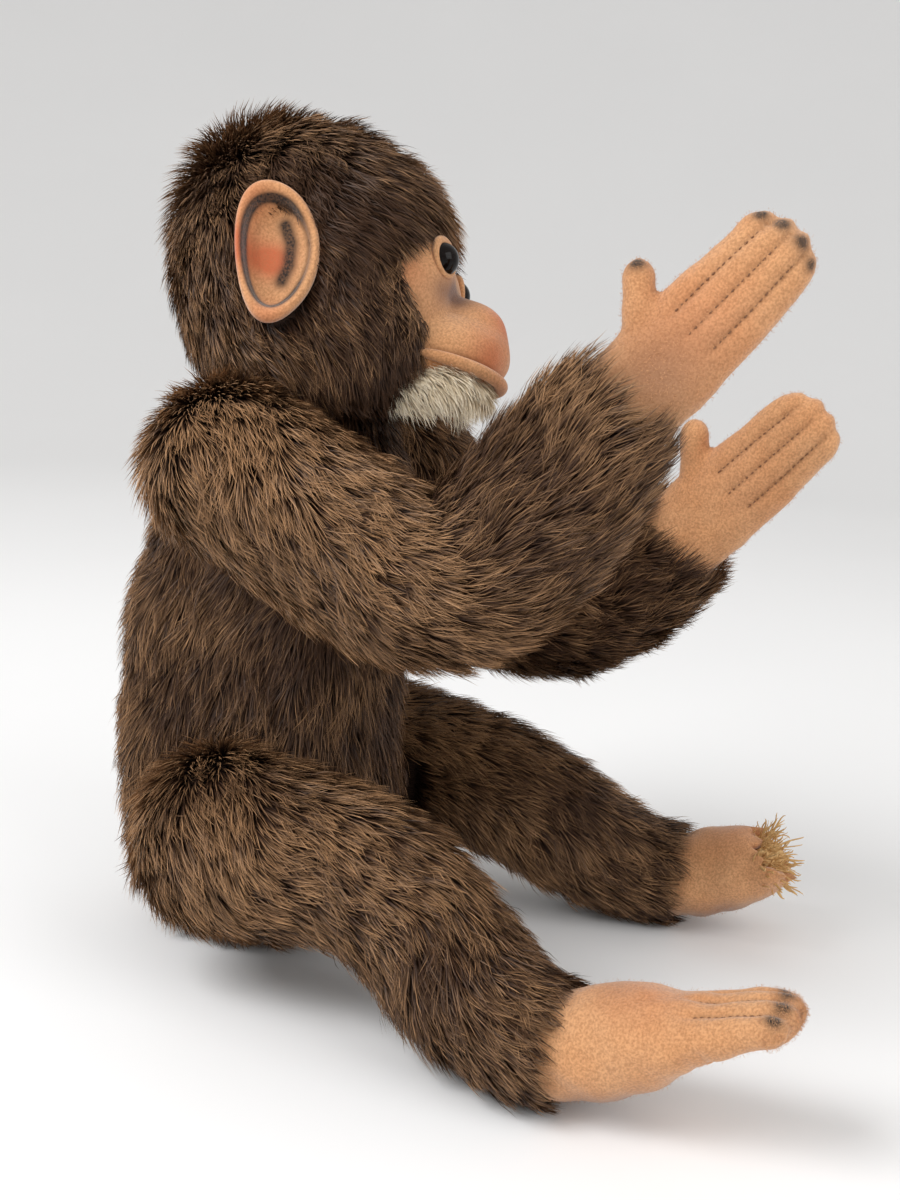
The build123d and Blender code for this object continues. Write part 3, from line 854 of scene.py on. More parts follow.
# ---- Torso ------------------------------------------------------------------------------------------
@dataclass
class Torso:
    """The pear-shaped body with its flat cheeks, its packing and its pile."""

    side_flat: float = 27.85
    cloth: float = 1.6
    gap: float = 0.3
    joints: tuple[tuple[float, float, float], ...] = ((-3.0, 156.8, 17.0), (-1.0, 46.5, 19.0))
    # The pile's base tone is set per part: darker here than on the arms, partly painted shade.
    pile: Pile = Pile(density=1.95, length=14.0, lean=50, width=0.185, clump=3.2, lock=9.0, tone=0.38)
    rows: tuple[tuple[float, float, float, float], ...] = (
        (0, 13, 8, 10), (0.6, 13, 17, 20), (5, 13, 25, 29), (18, 14, 34, 37.5), (42, 15, 38, 41.5),
        (78, 15, 38, 42), (108, 13.5, 38, 39.5), (134, 9, 37, 34), (158, 4, 35, 29), (167, 2.5, 31, 24.5),
        (172, 2, 23, 23.5), (174, 2, 20, 20.5), (174, 2, 8, 8),
    )

    def skin(self, inset: float = 0.0) -> Shell:
        """The bag, with its width clipped at the cheeks."""
        shell = bag(self.rows, 90, 96, inset)
        flat = self.side_flat - inset
        shell.grid[..., 0] = np.clip(shell.grid[..., 0], -flat, flat)
        return shell

    def keep(self, places: np.ndarray, normals: np.ndarray) -> np.ndarray:
        """No strands under a limb's disc, on the seat or under the head."""
        share = np.ones(len(places))
        cheek = np.abs(places[:, 0]) > self.side_flat - 1
        for y, z, radius in self.joints:
            share[cheek & (np.hypot(places[:, 1] - y, places[:, 2] - z) < radius)] = 0
        share[places[:, 2] < 2.5] = 0
        share[places[:, 2] > 172.5] = 0
        return share

    def brush(self, places: np.ndarray, normals: np.ndarray) -> np.ndarray:
        """Downwards, and a little towards the back."""
        way = np.zeros_like(places)
        way[:, 2], way[:, 1] = -1.0, 0.25
        return way

    def shape(self, places: np.ndarray) -> tuple[np.ndarray, np.ndarray]:
        """Shorter strands under the seat and shorter, flatter ones round the neck."""
        low = ease(places[:, 2], 0, 22)
        high = 1 - 0.35 * ease(places[:, 2], 150, 172)
        return (0.55 + 0.45 * low) * high, 1 + 0.25 * (1 - low)

    def shade(self, places: np.ndarray) -> np.ndarray:
        """Painted light and shade: paler down the back, darker at the sides and in front of them."""
        back = ease(places[:, 1], 18, 48)
        return 0.16 * back - 0.26 * (1 - back)

    def build(self, wardrobe: Wardrobe) -> None:
        """Builds and dresses the torso."""
        body = "torso"
        skin = Net.of([self.skin()])
        piece("torso_backing", skin, wardrobe.backing, body, ["torso_skin"])
        packing = Net.of([self.skin(self.cloth + self.gap)])
        piece("torso_packing", packing, wardrobe.wood_wool, body, ["torso_stuffing"])
        blades = self.pile.grow(self.skin(), self.brush, self.keep, 11, self.shape, self.shade)
        lay_pile(body, blades, wardrobe.mohair, body, 3, 2)


# ---- Head -------------------------------------------------------------------------------------------
@dataclass
class Head:
    """Skull, felt face with muzzle, lip band, chin, ears and eyes, in the head's own frame."""

    centre: tuple[float, float, float] = (-1.4, -2.9, 210.2)
    turn: float = 15.0
    lean: float = 20.0
    lift: float = 6.0
    neck_height: float = 174.3
    eye_place: tuple[float, float, float] = (14.5, -39.5, -3.0)
    eye_radius: float = 5.0
    ear_place: tuple[float, float, float] = (-35.5, 4.0, -9.0)
    left_ear_level: float = -2.0
    ear_turn: float = 14.0
    ear_half: tuple[float, float, float] = (8.0, 11.5, 20.0)
    # The pile's base tone is the darkest of the parts here, partly painted shade on the head's sides.
    pile: Pile = Pile(density=2.75, length=12.5, lean=52, width=0.175, clump=2.7, lock=7.0, tone=0.24)
    chin_pile: Pile = Pile(density=4.5, length=7.5, lean=62, width=0.14, clump=1.4, lock=4.5, tone=0.6)
    rows: tuple[tuple[float, float, float, float], ...] = (
        (-48, -10, 5, 5), (-47.5, -10, 12, 13), (-43, -8, 22, 23), (-34, -5, 30, 31), (-22, -2, 34.5, 36.5),
        (-8, 0, 37, 39), (6, 1, 37, 39), (20, 2, 33, 35), (31, 3, 26, 27.5), (38, 4, 17, 18), (41, 4, 8, 8),
        (41.6, 4, 3, 3),
    )

    @property
    def tilt(self) -> np.ndarray:
        """The head's turn about z, lean about y and lift about x, in that order."""
        return turned(self.turn, 2) @ turned(self.lean, 1) @ turned(-self.lift, 0)

    def placed(self, points: np.ndarray) -> np.ndarray:
        """Points of the head's frame in the toy's."""
        return points @ self.tilt.T + np.array(self.centre)

    def local(self, points: np.ndarray) -> np.ndarray:
        """Points of the toy's frame in the head's."""
        return (points - np.array(self.centre)) @ self.tilt

    def skull(self, inset: float = 0.0) -> Shell:
        """The round head, flat where it turns on the neck."""
        shell = Shell(self.placed(bag(self.rows, 80, 96, inset).grid))
        shell.grid[..., 2] = np.maximum(shell.grid[..., 2], self.neck_height + inset)
        return shell

    def keep(self, places: np.ndarray, normals: np.ndarray) -> np.ndarray:
        """No strands where the felt face, the chin, the ears or the neck are."""
        p = self.local(places)
        pad = (p[:, 0] / 25) ** 2 + ((p[:, 2] + 7) / 18.5) ** 2
        muzzle = (p[:, 0] / 15) ** 2 + ((p[:, 2] + 27) / 14) ** 2
        chin = (p[:, 0] / 14) ** 2 + ((p[:, 2] + 40) / 12) ** 2
        bare = (p[:, 1] < -15) & (np.minimum(np.minimum(pad, muzzle), chin) < 1)
        share = np.where(bare, 0.0, 1.0)
        for side in Side:
            x, y, z = self.ear_place
            level = z if side is Side.RIGHT else self.left_ear_level
            oval = ((p[:, 1] - y) / 9.5) ** 2 + ((p[:, 2] - level) / 17.0) ** 2
            share[(p[:, 0] * side.value > 20) & (oval < 1)] = 0
        share[places[:, 2] < self.neck_height + 1.0] = 0
        return share

    def brush(self, places: np.ndarray, normals: np.ndarray) -> np.ndarray:
        """Forward over the brow, down and a little forward on the cheeks, down behind."""
        p = self.local(places)
        front = ease(-p[:, 1], -4, 26)[:, None]
        low = ease(-p[:, 2], -8, 14)[:, None]
        forward = np.array([0, -0.9, -0.35]) * (1 - low) + np.array([0, -0.30, -1.0]) * low
        way = forward * front + np.array([0, -0.42, -0.72]) * (1 - front)
        return way @ self.tilt.T

    def shape(self, places: np.ndarray) -> tuple[np.ndarray, np.ndarray]:
        """Taller, more upright strands at the crown and brow; short ones round the neck, ears and face."""
        p = self.local(places)
        crown = near(p, (-4, 24, 31), 15)
        brow = near(p, (0, -32, 24), 16)
        low = ease(places[:, 2], self.neck_height, self.neck_height + 16)
        side = 1 - 0.38 * near(p, (-38, 4, -9), 24) - 0.38 * near(p, (38, 4, -3), 24)
        edge = ease(-p[:, 1], 12, 26) * ease(-p[:, 2], -8, 4)
        side = side * (1 - 0.35 * edge)
        length = (1 + 0.62 * crown + 0.16 * brow) * (0.6 + 0.4 * low) * side
        return length, 1 - 0.62 * crown - 0.42 * brow

    def shade(self, places: np.ndarray) -> np.ndarray:
        """Painted light and shade: paler at the crown and brow and along the face; darker on the cheeks and
        round the neck.
        """
        p = self.local(places)
        pale = near(p, (-4, 26, 28), 24) + 0.9 * near(p, (0, -32, 26), 19)
        pale = pale + 0.5 * near(p, (-24, -27, -12), 12)
        dark = near(p, (-36, -8, -2), 26) + near(p, (36, -8, -2), 26)
        neck = 1 - ease(places[:, 2], self.neck_height, self.neck_height + 26)
        return 0.42 * pale - 0.36 * dark - 0.4 * neck

    def face(self, inset: float = 0.0, rows: int = 150, columns: int = 220) -> Shell:
        """The felt face as one distance per direction from a middle inside the muzzle.

        The distance is the smooth largest, (sum r^k)^(1/k), of five ellipsoids: two for the brow and
        cheek pad, one each for the muzzle, the nose's ridge and the lower lip. Each eye has a swelling
        round it, the bridge a hollow, and the nose a soft tip.
        """
        middle = np.array([0, -24.0, -15.0])
        b = np.linspace(-np.pi / 2 + 0.02, np.pi / 2 - 0.02, rows)[:, None]
        a = np.arange(columns)[None] / columns * 2 * np.pi
        way = np.stack([np.sin(a) * np.cos(b), np.sin(b) + 0 * a, -np.cos(a) * np.cos(b)], -1)
        total = 0
        for centre, radii in (
            ((0, -12.5, -7), (28.5, 30, 23.5)),
            ((0, -12.5, -14), (28, 31, 24)),
            ((0, -34, -27), (16.5, 22.5, 12.5)),
            ((0, -38, -21), (10.5, 17.5, 12)),
            ((0, -35.5, -29), (16, 19.5, 10.5)),
        ):
            scaled, offset = way / radii, (middle - centre) / np.array(radii)
            q = (scaled * scaled).sum(-1)
            half = (scaled * offset).sum(-1)
            under = half**2 - q * ((offset**2).sum() - 1)
            reach = np.where(under > 0, (-half + np.sqrt(np.maximum(under, 0))) / q, 0)
            total = total + np.maximum(reach, 0) ** 16
        grid = middle + way * (total ** (1 / 16) - inset)[..., None]
        out = np.zeros(grid.shape[:2])
        for side in (-1, 1):
            x, y, z = self.eye_place
            out += 2.6 * near(grid, (side * x, y + 1, z), 8.6)
            out -= 1.5 * near(grid, (side * 9.5, -43, -13), 4.5)
            out += 0.7 * near(grid, (side * 13, -38, 8), 7)
        out -= 1.6 * near(grid, (0, -43, -4), 6.5)
        out += 1.2 * near(grid, (0, -54, -17), 5.5)
        out -= 0.5 * near_line(grid, np.array([[0, -59, -22], [0, -58, -30.0]]), 1.4)
        out += 0.22 * ripple(grid, 9, 5)
        return Shell(self.placed(grid + way * out[..., None]))

    def lip_line(self) -> np.ndarray:
        """The lip's middle: an arc round the muzzle, lower at the front."""
        a = np.linspace(-1.75, 1.75, 70)
        return np.stack([16.4 * np.sin(a), -34.5 - 20.2 * np.cos(a), -31.2 - 5.8 * np.cos(a)], 1)

    def lip(self) -> Shell:
        """A rolled felt band along the lip line, thinner towards its ends."""
        line = self.lip_line()
        size = 1.95 * np.sqrt(np.clip(1 - np.linspace(-1, 1, len(line)) ** 6, 0.05, 1))
        return Shell(self.placed(cordlike(line, size, 18, 1.0).grid))

    def eye(self, side: Side) -> list[Shell]:
        """A glass ball, a little flattened in front, on its wire shank."""
        x, y, z = self.eye_place
        glass = ball((side.value * x, y, z), (self.eye_radius,) * 3, 30, 40)
        shank = np.linspace((side.value * x, y + 3, z), (side.value * x, y + 18, z), 6)
        return [Shell(self.placed(s.grid)) for s in (glass, cordlike(shank, np.full(6, 0.8)))]

    def eye_rim(self, side: Side) -> Shell:
        """A puffed felt lid round the eye: a ring whose tube is thicker above."""
        x, y, z = self.eye_place
        a = np.arange(64)[:, None] / 64 * 2 * np.pi
        outward = unit(np.array([side.value * 0.42, -0.9, 0.08]))
        sideways = unit(np.cross(outward, (0, 0, 1.0)))
        upward = np.cross(sideways, outward)
        radial = sideways * np.cos(a) * 0.93 + upward * np.sin(a) * 1.08
        thick = 1.25 + 0.45 * np.sin(a)
        tube = np.arange(20)[None, :, None] / 20 * 2 * np.pi
        middle = np.array([side.value * x, y, z]) + outward * 1.0 + radial * 4.7
        ring = radial[:, None] * np.cos(tube) + outward * np.sin(tube) * 0.85
        return middle[:, None] + ring * thick[:, :, None]

    def ear(self, side: Side) -> np.ndarray:
        """The cupped ear as a profile carried round an oval.

        The profile, as share of the radius and height, runs from the bowl up to the rolled rim, over it
        and round the back. A ridge inside the front edge and a fold make the inner ear.
        """
        profile = np.array([
            (0.03, 1.6), (0.3, 1.7), (0.52, 2.0), (0.66, 2.9), (0.73, 4.3), (0.765, 5.7), (0.80, 7.1),
            (0.86, 8.1), (0.93, 8.3), (0.985, 7.5), (1.0, 6.2), (0.985, 4.9), (0.93, 3.6), (0.8, 1.7),
            (0.6, 0.2), (0.35, -0.8), (0.03, -1.2),
        ])
        knots = np.linspace(0, 1, len(profile))
        t = np.linspace(0, 1, 84)
        r, lift = along_rows(knots, profile, np.gradient(profile, knots, axis=0), t).T[:, :, None]
        a = np.arange(120)[None] / 120 * 2 * np.pi
        deep, wide, tall = self.ear_half
        y, z = wide * r * np.cos(a), tall * r * np.sin(a)
        y = y * (1 + 0.10 * np.sin(a)) - 1.3 * np.cos(2 * a) * r**2 + 0.8 * r
        inner = (t < 0.5)[:, None]
        spot = np.stack([y, z, 0 * y], -1)
        lift = lift + inner * (1 - r) ** 0.5 * (
            2.9 * near_line(spot, np.array([[-5.5, 9, 0], [-6.2, 0, 0], [-4.5, -8, 0.0]]), 2.3)
            + 1.2 * near_line(spot, np.array([[2.5, 12, 0], [4.5, 4, 0], [3.0, -7, 0], [-1, -12, 0.0]]), 2.2)
            - 2.2 * near_line(spot, np.array([[-1.6, 7, 0], [-2.4, 0, 0], [-1.4, -6, 0.0]]), 1.8)
        )
        lift = lift + 0.5 * np.sin(a) * r**2 - 1.4 * r**4 * ease(-np.cos(a), 0.55, 1.0)
        floor = 3.1 + 0.30 * np.clip(-y, -2, 20)
        lift = np.where(inner, floor + np.logaddexp(0, (lift - floor) * 2) / 2, lift)
        grid = np.stack([-lift, y, z], -1)
        x, back, level = self.ear_place
        level = level if side is Side.RIGHT else self.left_ear_level
        grid = grid @ turned(self.ear_turn, 2).T + (x, back, level)
        return grid * (-side.value, 1, 1) if side is Side.LEFT else grid

    def paint_face(self, net: Net) -> Net:
        """Sprays the face: violet under the eyes and bridge, red nose, dark nostrils; painted shade above the
        lip band.
        """
        p = self.local(net.points)
        violet, red, dark = np.zeros(len(p)), np.zeros(len(p)), np.zeros(len(p))
        x, y, z = self.eye_place
        for side in (-1, 1):
            violet += 1.1 * near(p, (side * 8.0, -43, -11), 4.4) + 0.7 * near(p, (side * 14, -38, -12), 4.6)
            violet += 0.25 * near(p, (side * 20, -31, -19), 6)
            nostril = np.array([[side * 3.2, -56.5, -14.2], [side * 4.6, -55.5, -16.2]])
            dark += 0.9 * near_line(p, nostril, 1.0)
            red += 0.6 * near(p, (side * 8, -52, -31), 7) + 0.3 * near(p, (side * 21, -30, -9), 6)
            red += 0.35 * near(p, (side * 15, -36, 7.5), 5)
        violet += 0.75 * near(p, (0, -43.5, -7.5), 5.0)
        violet += 0.5 * near(p, (0, -40, 12), 6)
        red += 0.85 * near_line(p, np.array([[-4.2, -55, -13.0], [0, -57, -12.6], [4.2, -55, -13.0]]), 2.0)
        red += 0.75 * near(p, (0, -57, -18), 7.0)
        # Painted shade along the crease where the lip band meets the muzzle.
        dark += 0.45 * near_line(p, self.lip_line() + (0, -0.6, 1.9), 0.9)
        net.values = {Shade.VIOLET.value: np.clip(violet, 0, 0.9), Shade.RED.value: np.clip(red, 0, 0.85),
                      Shade.DARK.value: np.clip(dark, 0, 1)}
        return net

    def paint_ear(self, shell: Shell, side: Side) -> Net:
        """Sprays the ear: a dark line inside the rim, a red blush in the bowl, painted shade in the hollow in
        front.
        """
        net = Net.of([shell])
        p = self.local(net.points)
        if side is Side.LEFT:
            p = p * (-1, 1, 1)
        x, back, level = self.ear_place
        level = level if side is Side.RIGHT else self.left_ear_level
        q = (p - (x, back, level)) @ turned(self.ear_turn, 2)
        a = np.linspace(-np.pi, np.pi, 60)
        r = 0.77
        y = 11.5 * r * np.cos(a)
        y = y * (1 + 0.10 * np.sin(a)) - 1.3 * np.cos(2 * a) * r**2 + 0.8 * r
        line = np.stack([0 * a, y, 20 * r * np.sin(a)], 1)
        flat = q * (0, 1, 1)
        shown = ease(-q[:, 0], 0.6, 1.6)
        front = ease(flat[:, 1], -9, -3)
        dark = 1.8 * near_line(flat, line, 0.85) * (0.35 + 0.65 * front) * shown
        # Painted shade in the hollow of the fold at the front of the bowl.
        fold = np.array([[0, -2.6, 8.5], [0, -4.2, 3], [0, -3.6, -3], [0, -1.6, -7.5]])
        hollow = near_line(flat, fold, 2.0)
        dark = dark + 1.25 * hollow * shown
        red = 1.1 * near(flat, (0, 0.8, -1.5), 4.6) + 0.95 * near(flat, (0, 11.5, 1), 7)
        red = red + 0.35 * near(flat, (0, 3, -19), 6) + 0.3 * near(flat, (0, 6.5, 15), 6)
        net.values = {Shade.DARK.value: np.clip(dark, 0, 1), Shade.RED.value: np.clip(red, 0, 0.8)}
        return net

    def chin(self) -> Shell:
        """The cream chin under the lip."""
        shell = Shell(self.placed(ball((0, -32.5, -40), (14.5, 17.5, 11.5), 40, 56).grid))
        shell.grid[..., 2] = np.maximum(shell.grid[..., 2], self.neck_height + 0.6)
        return shell

    def build(self, wardrobe: Wardrobe) -> None:
        """Builds and dresses the head."""
        body = "head"
        piece("head_backing", Net.of([self.skull()]), wardrobe.backing, body, ["head_skin"])
        packing = Net.of([self.skull(1.9)])
        piece("head_packing", packing, wardrobe.wood_wool, body, ["head_stuffing"])
        face = self.paint_face(Net.of([self.face()]))
        piece("face_and_muzzle", face, wardrobe.felt, body, ["face_felt"])
        inner = Net.of([self.face(3.0, 50, 72)])
        piece("muzzle_packing", inner, wardrobe.wood_wool, body, ["muzzle_stuffing"])
        lip = Net.of([self.lip()])
        p = self.local(lip.points)
        under = near(p, (0, -55, -39), 9)
        lip.values = {Shade.RED.value: np.clip(0.25 * under, 0, 1)}
        piece("lower_lip", lip, wardrobe.felt, body, ["lip_band"])
        chin = self.chin()
        piece("chin_backing", Net.of([chin]), wardrobe.white_backing, body, ["chin_patch"])
        down = np.array([0, -0.35, -1.0]) @ self.tilt.T

        def downwards(places: np.ndarray, normals: np.ndarray) -> np.ndarray:
            """The chin's pile hangs and points a little forward."""
            return np.broadcast_to(down, places.shape).copy()

        def chin_keep(places: np.ndarray, normals: np.ndarray) -> np.ndarray:
            """Strands only in front and below the lip."""
            p = self.local(places)
            under = (p[:, 1] < -22) & (p[:, 2] < -33) & (places[:, 2] > self.neck_height + 1)
            return under.astype(float)

        blades = self.chin_pile.grow(chin, downwards, chin_keep, 31)
        lay_pile("chin", blades, wardrobe.white_mohair, body, 1, 2)
        for side in Side:
            word = side.word
            eye = Net.of(self.eye(side))
            piece(f"{word}_glass_eye", eye, wardrobe.glass, body, [f"{word}_eye"])
            rim = self.eye_rim(side)
            ring = Net(*ring_net(self.placed(rim)))
            p = self.local(ring.points)
            x, y, z = self.eye_place
            # Painted shade: the lid darkens in the crease where it meets the glass.
            crease = near(p, (side.value * x, y - 0.6, z), 5.6)
            ring.values = {Shade.DARK.value: np.clip(0.55 * crease**2, 0, 0.6)}
            piece(f"{word}_eye_lid", ring, wardrobe.felt, body)
            ear = self.paint_ear(Shell(self.placed(self.ear(side))), side)
            piece(f"{word}_felt_ear", ear, wardrobe.felt, body, [f"{word}_ear"])
        blades = self.pile.grow(self.skull(), self.brush, self.keep, 21, self.shape, self.shade)
        lay_pile("head", blades, wardrobe.mohair, body, 2, 1)


def ring_net(grid: np.ndarray) -> tuple[np.ndarray, np.ndarray, np.ndarray]:
    """A grid that closes both ways, as points, quads and no triangles, facing outwards."""
    n, m = grid.shape[:2]
    i, j = np.meshgrid(np.arange(n), np.arange(m), indexing="ij")
    on, by = (i + 1) % n, (j + 1) % m
    quads = np.stack([i * m + j, i * m + by, on * m + by, on * m + j], -1).reshape(-1, 4)
    points = grid.reshape(-1, 3)
    a, b, c = points[quads[:, :3]].transpose(1, 0, 2)
    d = points[quads[:, 3]]
    volume = (a * np.cross(b, c)).sum() + (a * np.cross(c, d)).sum()
    return points, quads if volume > 0 else quads[:, ::-1], np.empty((0, 3), int)


# ---- Stitching and fuzz ------------------------------------------------------------------------------
def stitches(line: np.ndarray, lift: np.ndarray, pitch: float = 1.75, length: float = 1.3) -> list[Shell]:
    """Separate short stitches along a line, each a small flattened lump lying on the felt.

    Args:
        line: points along the seam.
        lift: the outward direction at each point.
        pitch: from one stitch to the next.
        length: of one stitch.

    Returns:
        One shell per stitch.
    """
    steps = np.linalg.norm(np.diff(line, axis=0), axis=1)
    run = np.r_[0, np.cumsum(steps)]
    found = []
    for start in np.arange(0.3, run[-1] - length, pitch):
        at = np.linspace(start, start + length, 5)
        middle = np.stack([np.interp(at, run, line[:, k]) for k in range(3)], 1)
        up = np.stack([np.interp(at, run, lift[:, k]) for k in range(3)], 1)
        arch = np.array([-0.16, 0.04, 0.12, 0.04, -0.16])[:, None]
        found.append(cordlike(middle + up * arch, np.array([0.08, 0.17, 0.2, 0.17, 0.08]), 6))
    return found


def drop_to(
    points: np.ndarray, normals: np.ndarray, line: np.ndarray, way: np.ndarray
) -> tuple[np.ndarray, np.ndarray]:
    """The surface points under a line, looked for along a direction.

    Args:
        points: the surface's vertices.
        normals: their normals.
        line: the points to be dropped.
        way: the direction from the surface to the line's side.

    Returns:
        The points moved onto the surface, and the normals there.
    """
    facing = np.flatnonzero(normals @ way > 0.25)
    flat = points[facing] - (points[facing] @ way)[:, None] * way
    wanted = line - (line @ way)[:, None] * way
    gaps = np.linalg.norm(flat[None] - wanted[:, None], axis=2)
    nearest = facing[gaps.argmin(1)]
    height = points[nearest] @ way
    height = np.convolve(np.pad(height, 2, mode="edge"), np.ones(5) / 5, "valid")
    return wanted + height[:, None] * way, normals[nearest]


def fuzz(net: Net, normals: np.ndarray, count: int, seed: int) -> np.ndarray:
    """Loose felt fibres: short fine strands that stand off the surface at random.

    Args:
        net: the felt's surface.
        normals: at its vertices.
        count: how many fibres.
        seed: the seed of every random draw.

    Returns:
        The strands, as Pile.grow gives them.
    """
    rng = np.random.default_rng(seed)
    chosen = rng.integers(0, len(net.points), count)
    root, normal = net.points[chosen] + rng.normal(0, 0.25, (count, 3)), normals[chosen]
    way = unit(np.cross(normal, rng.normal(size=(count, 3))))
    length = rng.uniform(0.35, 1.0, (count, 1))
    tip = root + normal * length * rng.uniform(0.25, 0.9, (count, 1)) + way * length
    middle = root + (tip - root) * 0.5 + normal * length * 0.18
    low = root + (middle - root) * 0.5
    flat = unit(np.cross(tip - root, normal)) * 0.035
    sides = [place + flat * k for place in (root, low, middle) for k in (-1, 1)]
    blades = np.stack([*sides, tip], 1)
    tones = np.broadcast_to(rng.uniform(0.1, 0.9, (count, 1)), (count, 7))
    reach = np.broadcast_to(np.array([0, 0, 0.34, 0.34, 0.7, 0.7, 1.0]), (count, 7))
    return np.concatenate([blades, tones[..., None], reach[..., None]], 2)


# ---- Arms -------------------------------------------------------------------------------------------
@dataclass
class Arm:
    """One mohair arm with its packing, and the felt hand with its fingers and thumb."""

    side: Side
    pitch: float
    hand_bend: float
    shoulder: tuple[float, float, float] = (-47.0, -3.0, 156.8)
    upper: float = 70.5
    fore: float = 61.5
    hand: float = 58.0
    elbow_bend: float = 68.7
    fore_inward: float = 11.0
    hand_inward: float = 9.0
    half_width: float = 18.4
    half_height: float = 20.5
    end_half_width: float = 22.0
    wrist_half: tuple[float, float] = (11.5, 14.5)
    hand_half: tuple[float, float] = (6.6, 13.2)
    finger_round: float = 8.0
    thumb: tuple[float, float, float] = (4.6, 24.0, 54.0)
    cheek: float = 28.15
    # The pile's base tone is the palest of the parts here, partly painted light.
    pile: Pile = Pile(density=2.3, length=13.5, lean=52, width=0.185, clump=3.2, lock=8.0, tone=0.5)

    def points(self) -> np.ndarray:
        """Shoulder, elbow, wrist and fingertip, on the right: each step rises by its own angle."""
        angles = np.radians(np.cumsum([self.pitch, self.elbow_bend, self.hand_bend]))
        lengths = np.array([self.upper, self.fore, self.hand])
        inward = np.array([0, self.fore_inward, self.hand_inward])
        level = np.sqrt(lengths**2 - inward**2)
        steps = np.stack([inward, -level * np.cos(angles), level * np.sin(angles)], 1)
        return np.concatenate([[self.shoulder], self.shoulder + np.cumsum(steps, 0)])

    def sleeve(self) -> Tube:
        """The mohair tube from shoulder to cuff."""
        p = self.points()
        w, h = self.half_width, self.half_height
        rows = (
            (0, self.end_half_width, h + 0.5), (0.1, self.end_half_width - 0.6, h + 0.5), (0.24, w, h + 0.5),
            (0.5, w, h), (0.75, w - 1.5, h - 0.5), (0.9, w - 3.5, h - 2.5),
            (1, self.wrist_half[0] + 1.8, self.wrist_half[1] + 1.2),
        )
        return Tube(Spine(p[:3], p[1] - p[0], p[3] - p[2]), rows, start_reach=h + 0.5)

    def skin(self, inset: float = 0.0) -> Shell:
        """The sleeve with its inner face flat against the torso."""
        shell = self.sleeve().shell(84, 72, self.side, inset)
        return pressed(shell, self.side, self.cheek + inset, self.shoulder[1:], 27)

    def keep(self, places: np.ndarray, normals: np.ndarray) -> np.ndarray:
        """No strands on the flat face or inside the cuff."""
        round_joint = np.hypot(places[:, 1] - self.shoulder[1], places[:, 2] - self.shoulder[2]) < 24
        share = np.where(round_joint & (places[:, 0] * self.side.value < self.cheek + 0.3), 0.0, 1.0)
        p = self.points() * (-self.side.value, 1, 1)
        ahead = unit(p[3] - p[2])
        share[((places - p[2]) @ ahead > -0.3) & (normals @ ahead > 0.6)] = 0
        return share

    def brush(self, places: np.ndarray, normals: np.ndarray) -> np.ndarray:
        """Along the arm to the cuff, hanging a little."""
        spine = self.sleeve().spine
        t = np.linspace(0, 1, 60)
        centre, ahead = spine.at(t)
        if self.side is Side.LEFT:
            centre, ahead = centre * (-1, 1, 1), ahead * (-1, 1, 1)
        nearest = ((places[:, None] - centre[None]) ** 2).sum(2).argmin(1)
        outward = np.array([self.side.value * 0.7, 0.1, -0.6]) * (1 - ease(t[nearest], 0.0, 0.26))[:, None]
        return ahead[nearest] + outward + np.array([0, 0, -0.28])

    def shape(self, places: np.ndarray) -> tuple[np.ndarray, np.ndarray]:
        """Full length all over, a little shorter inside."""
        inside = ease(self.cheek + 16 - places[:, 0] * self.side.value, 0, 14)
        return 1 - 0.3 * inside, 1 + 0.1 * inside

    def shade(self, places: np.ndarray) -> np.ndarray:
        """Painted light and shade: paler at the shoulder, darker inside and towards the cuff."""
        p = self.points() * (-self.side.value, 1, 1)
        far = np.linalg.norm(places - p[0], axis=1)
        inside = ease(self.cheek + 16 - places[:, 0] * self.side.value, 0, 14)
        return 0.2 - 0.3 * ease(far, 30, 110) - 0.2 * inside

    def mitt(self) -> tuple[Net, np.ndarray, list[Shell]]:
        """The felt hand: paddle and thumb fused into one skin, then seamed between the fingers.

        The felt is pressed in by d exp(-(v/w)^2) along three lines, and swells between them. Each seam
        gets stitches on both faces, and the nails are sprayed on the back.
        """
        p = self.points()
        wrist, tip = p[2], p[3]
        ahead = unit(tip - wrist)
        thick, wide = self.hand_half
        rows = (
            (0, self.wrist_half[0], self.wrist_half[1]),
            (0.16, self.wrist_half[0] - 2, self.wrist_half[1] - 0.5),
            (0.4, thick + 1, wide + 0.8), (0.68, thick, wide), (1, thick - 1.2, wide - 1.6),
        )
        last = tip - ahead * self.finger_round
        line = Spine(np.array([wrist, (wrist + last) / 2, last]), ahead, ahead)
        paddle = Tube(line, rows, end_reach=self.finger_round).shell(60, 56, Side.RIGHT)
        up = unit(np.cross(ahead, (1.0, 0, 0)))
        out = unit(np.cross(ahead, up))
        radius, length, splay = self.thumb
        swing = math.radians(splay)
        lean = ahead * math.cos(swing) + up * math.sin(swing)
        root = wrist + ahead * 15 + up * 5
        t = np.linspace(-0.1, 1, 26)
        bow = (t**2)[:, None] * ahead * 2.2
        stem = root + lean * (length - 0.6) * t[:, None] + bow
        tip_round = np.sqrt(np.clip(1 - np.clip((t - 0.80) / 0.2, 0, 0.985) ** 2, 0, 1))
        taper = radius * (1.06 - 0.16 * t) * tip_round
        taper = taper + 2.2 * np.exp(-((t + 0.1) / 0.28) ** 2)
        finger = cordlike(stem, np.maximum(taper, 0.5), 24)
        net, normals = fused([paddle, finger], 0.8, 6)
        a = (net.points - wrist) @ ahead
        v = (net.points - wrist) @ up
        u = (net.points - wrist) @ out
        half = np.interp(a, [0, 20, 40, 58], [14.5, 13.6, 13.2, 11.5])
        flat = ease(np.abs(normals @ out), 0.25, 0.6)
        press, swell = np.zeros(len(a)), np.zeros(len(a))
        for share in (-0.5, 0.0, 0.5):
            start = 23 + 3 * abs(share)
            stretch = ease(a, start, start + 4) * (1 - ease(a, 53.5, 57))
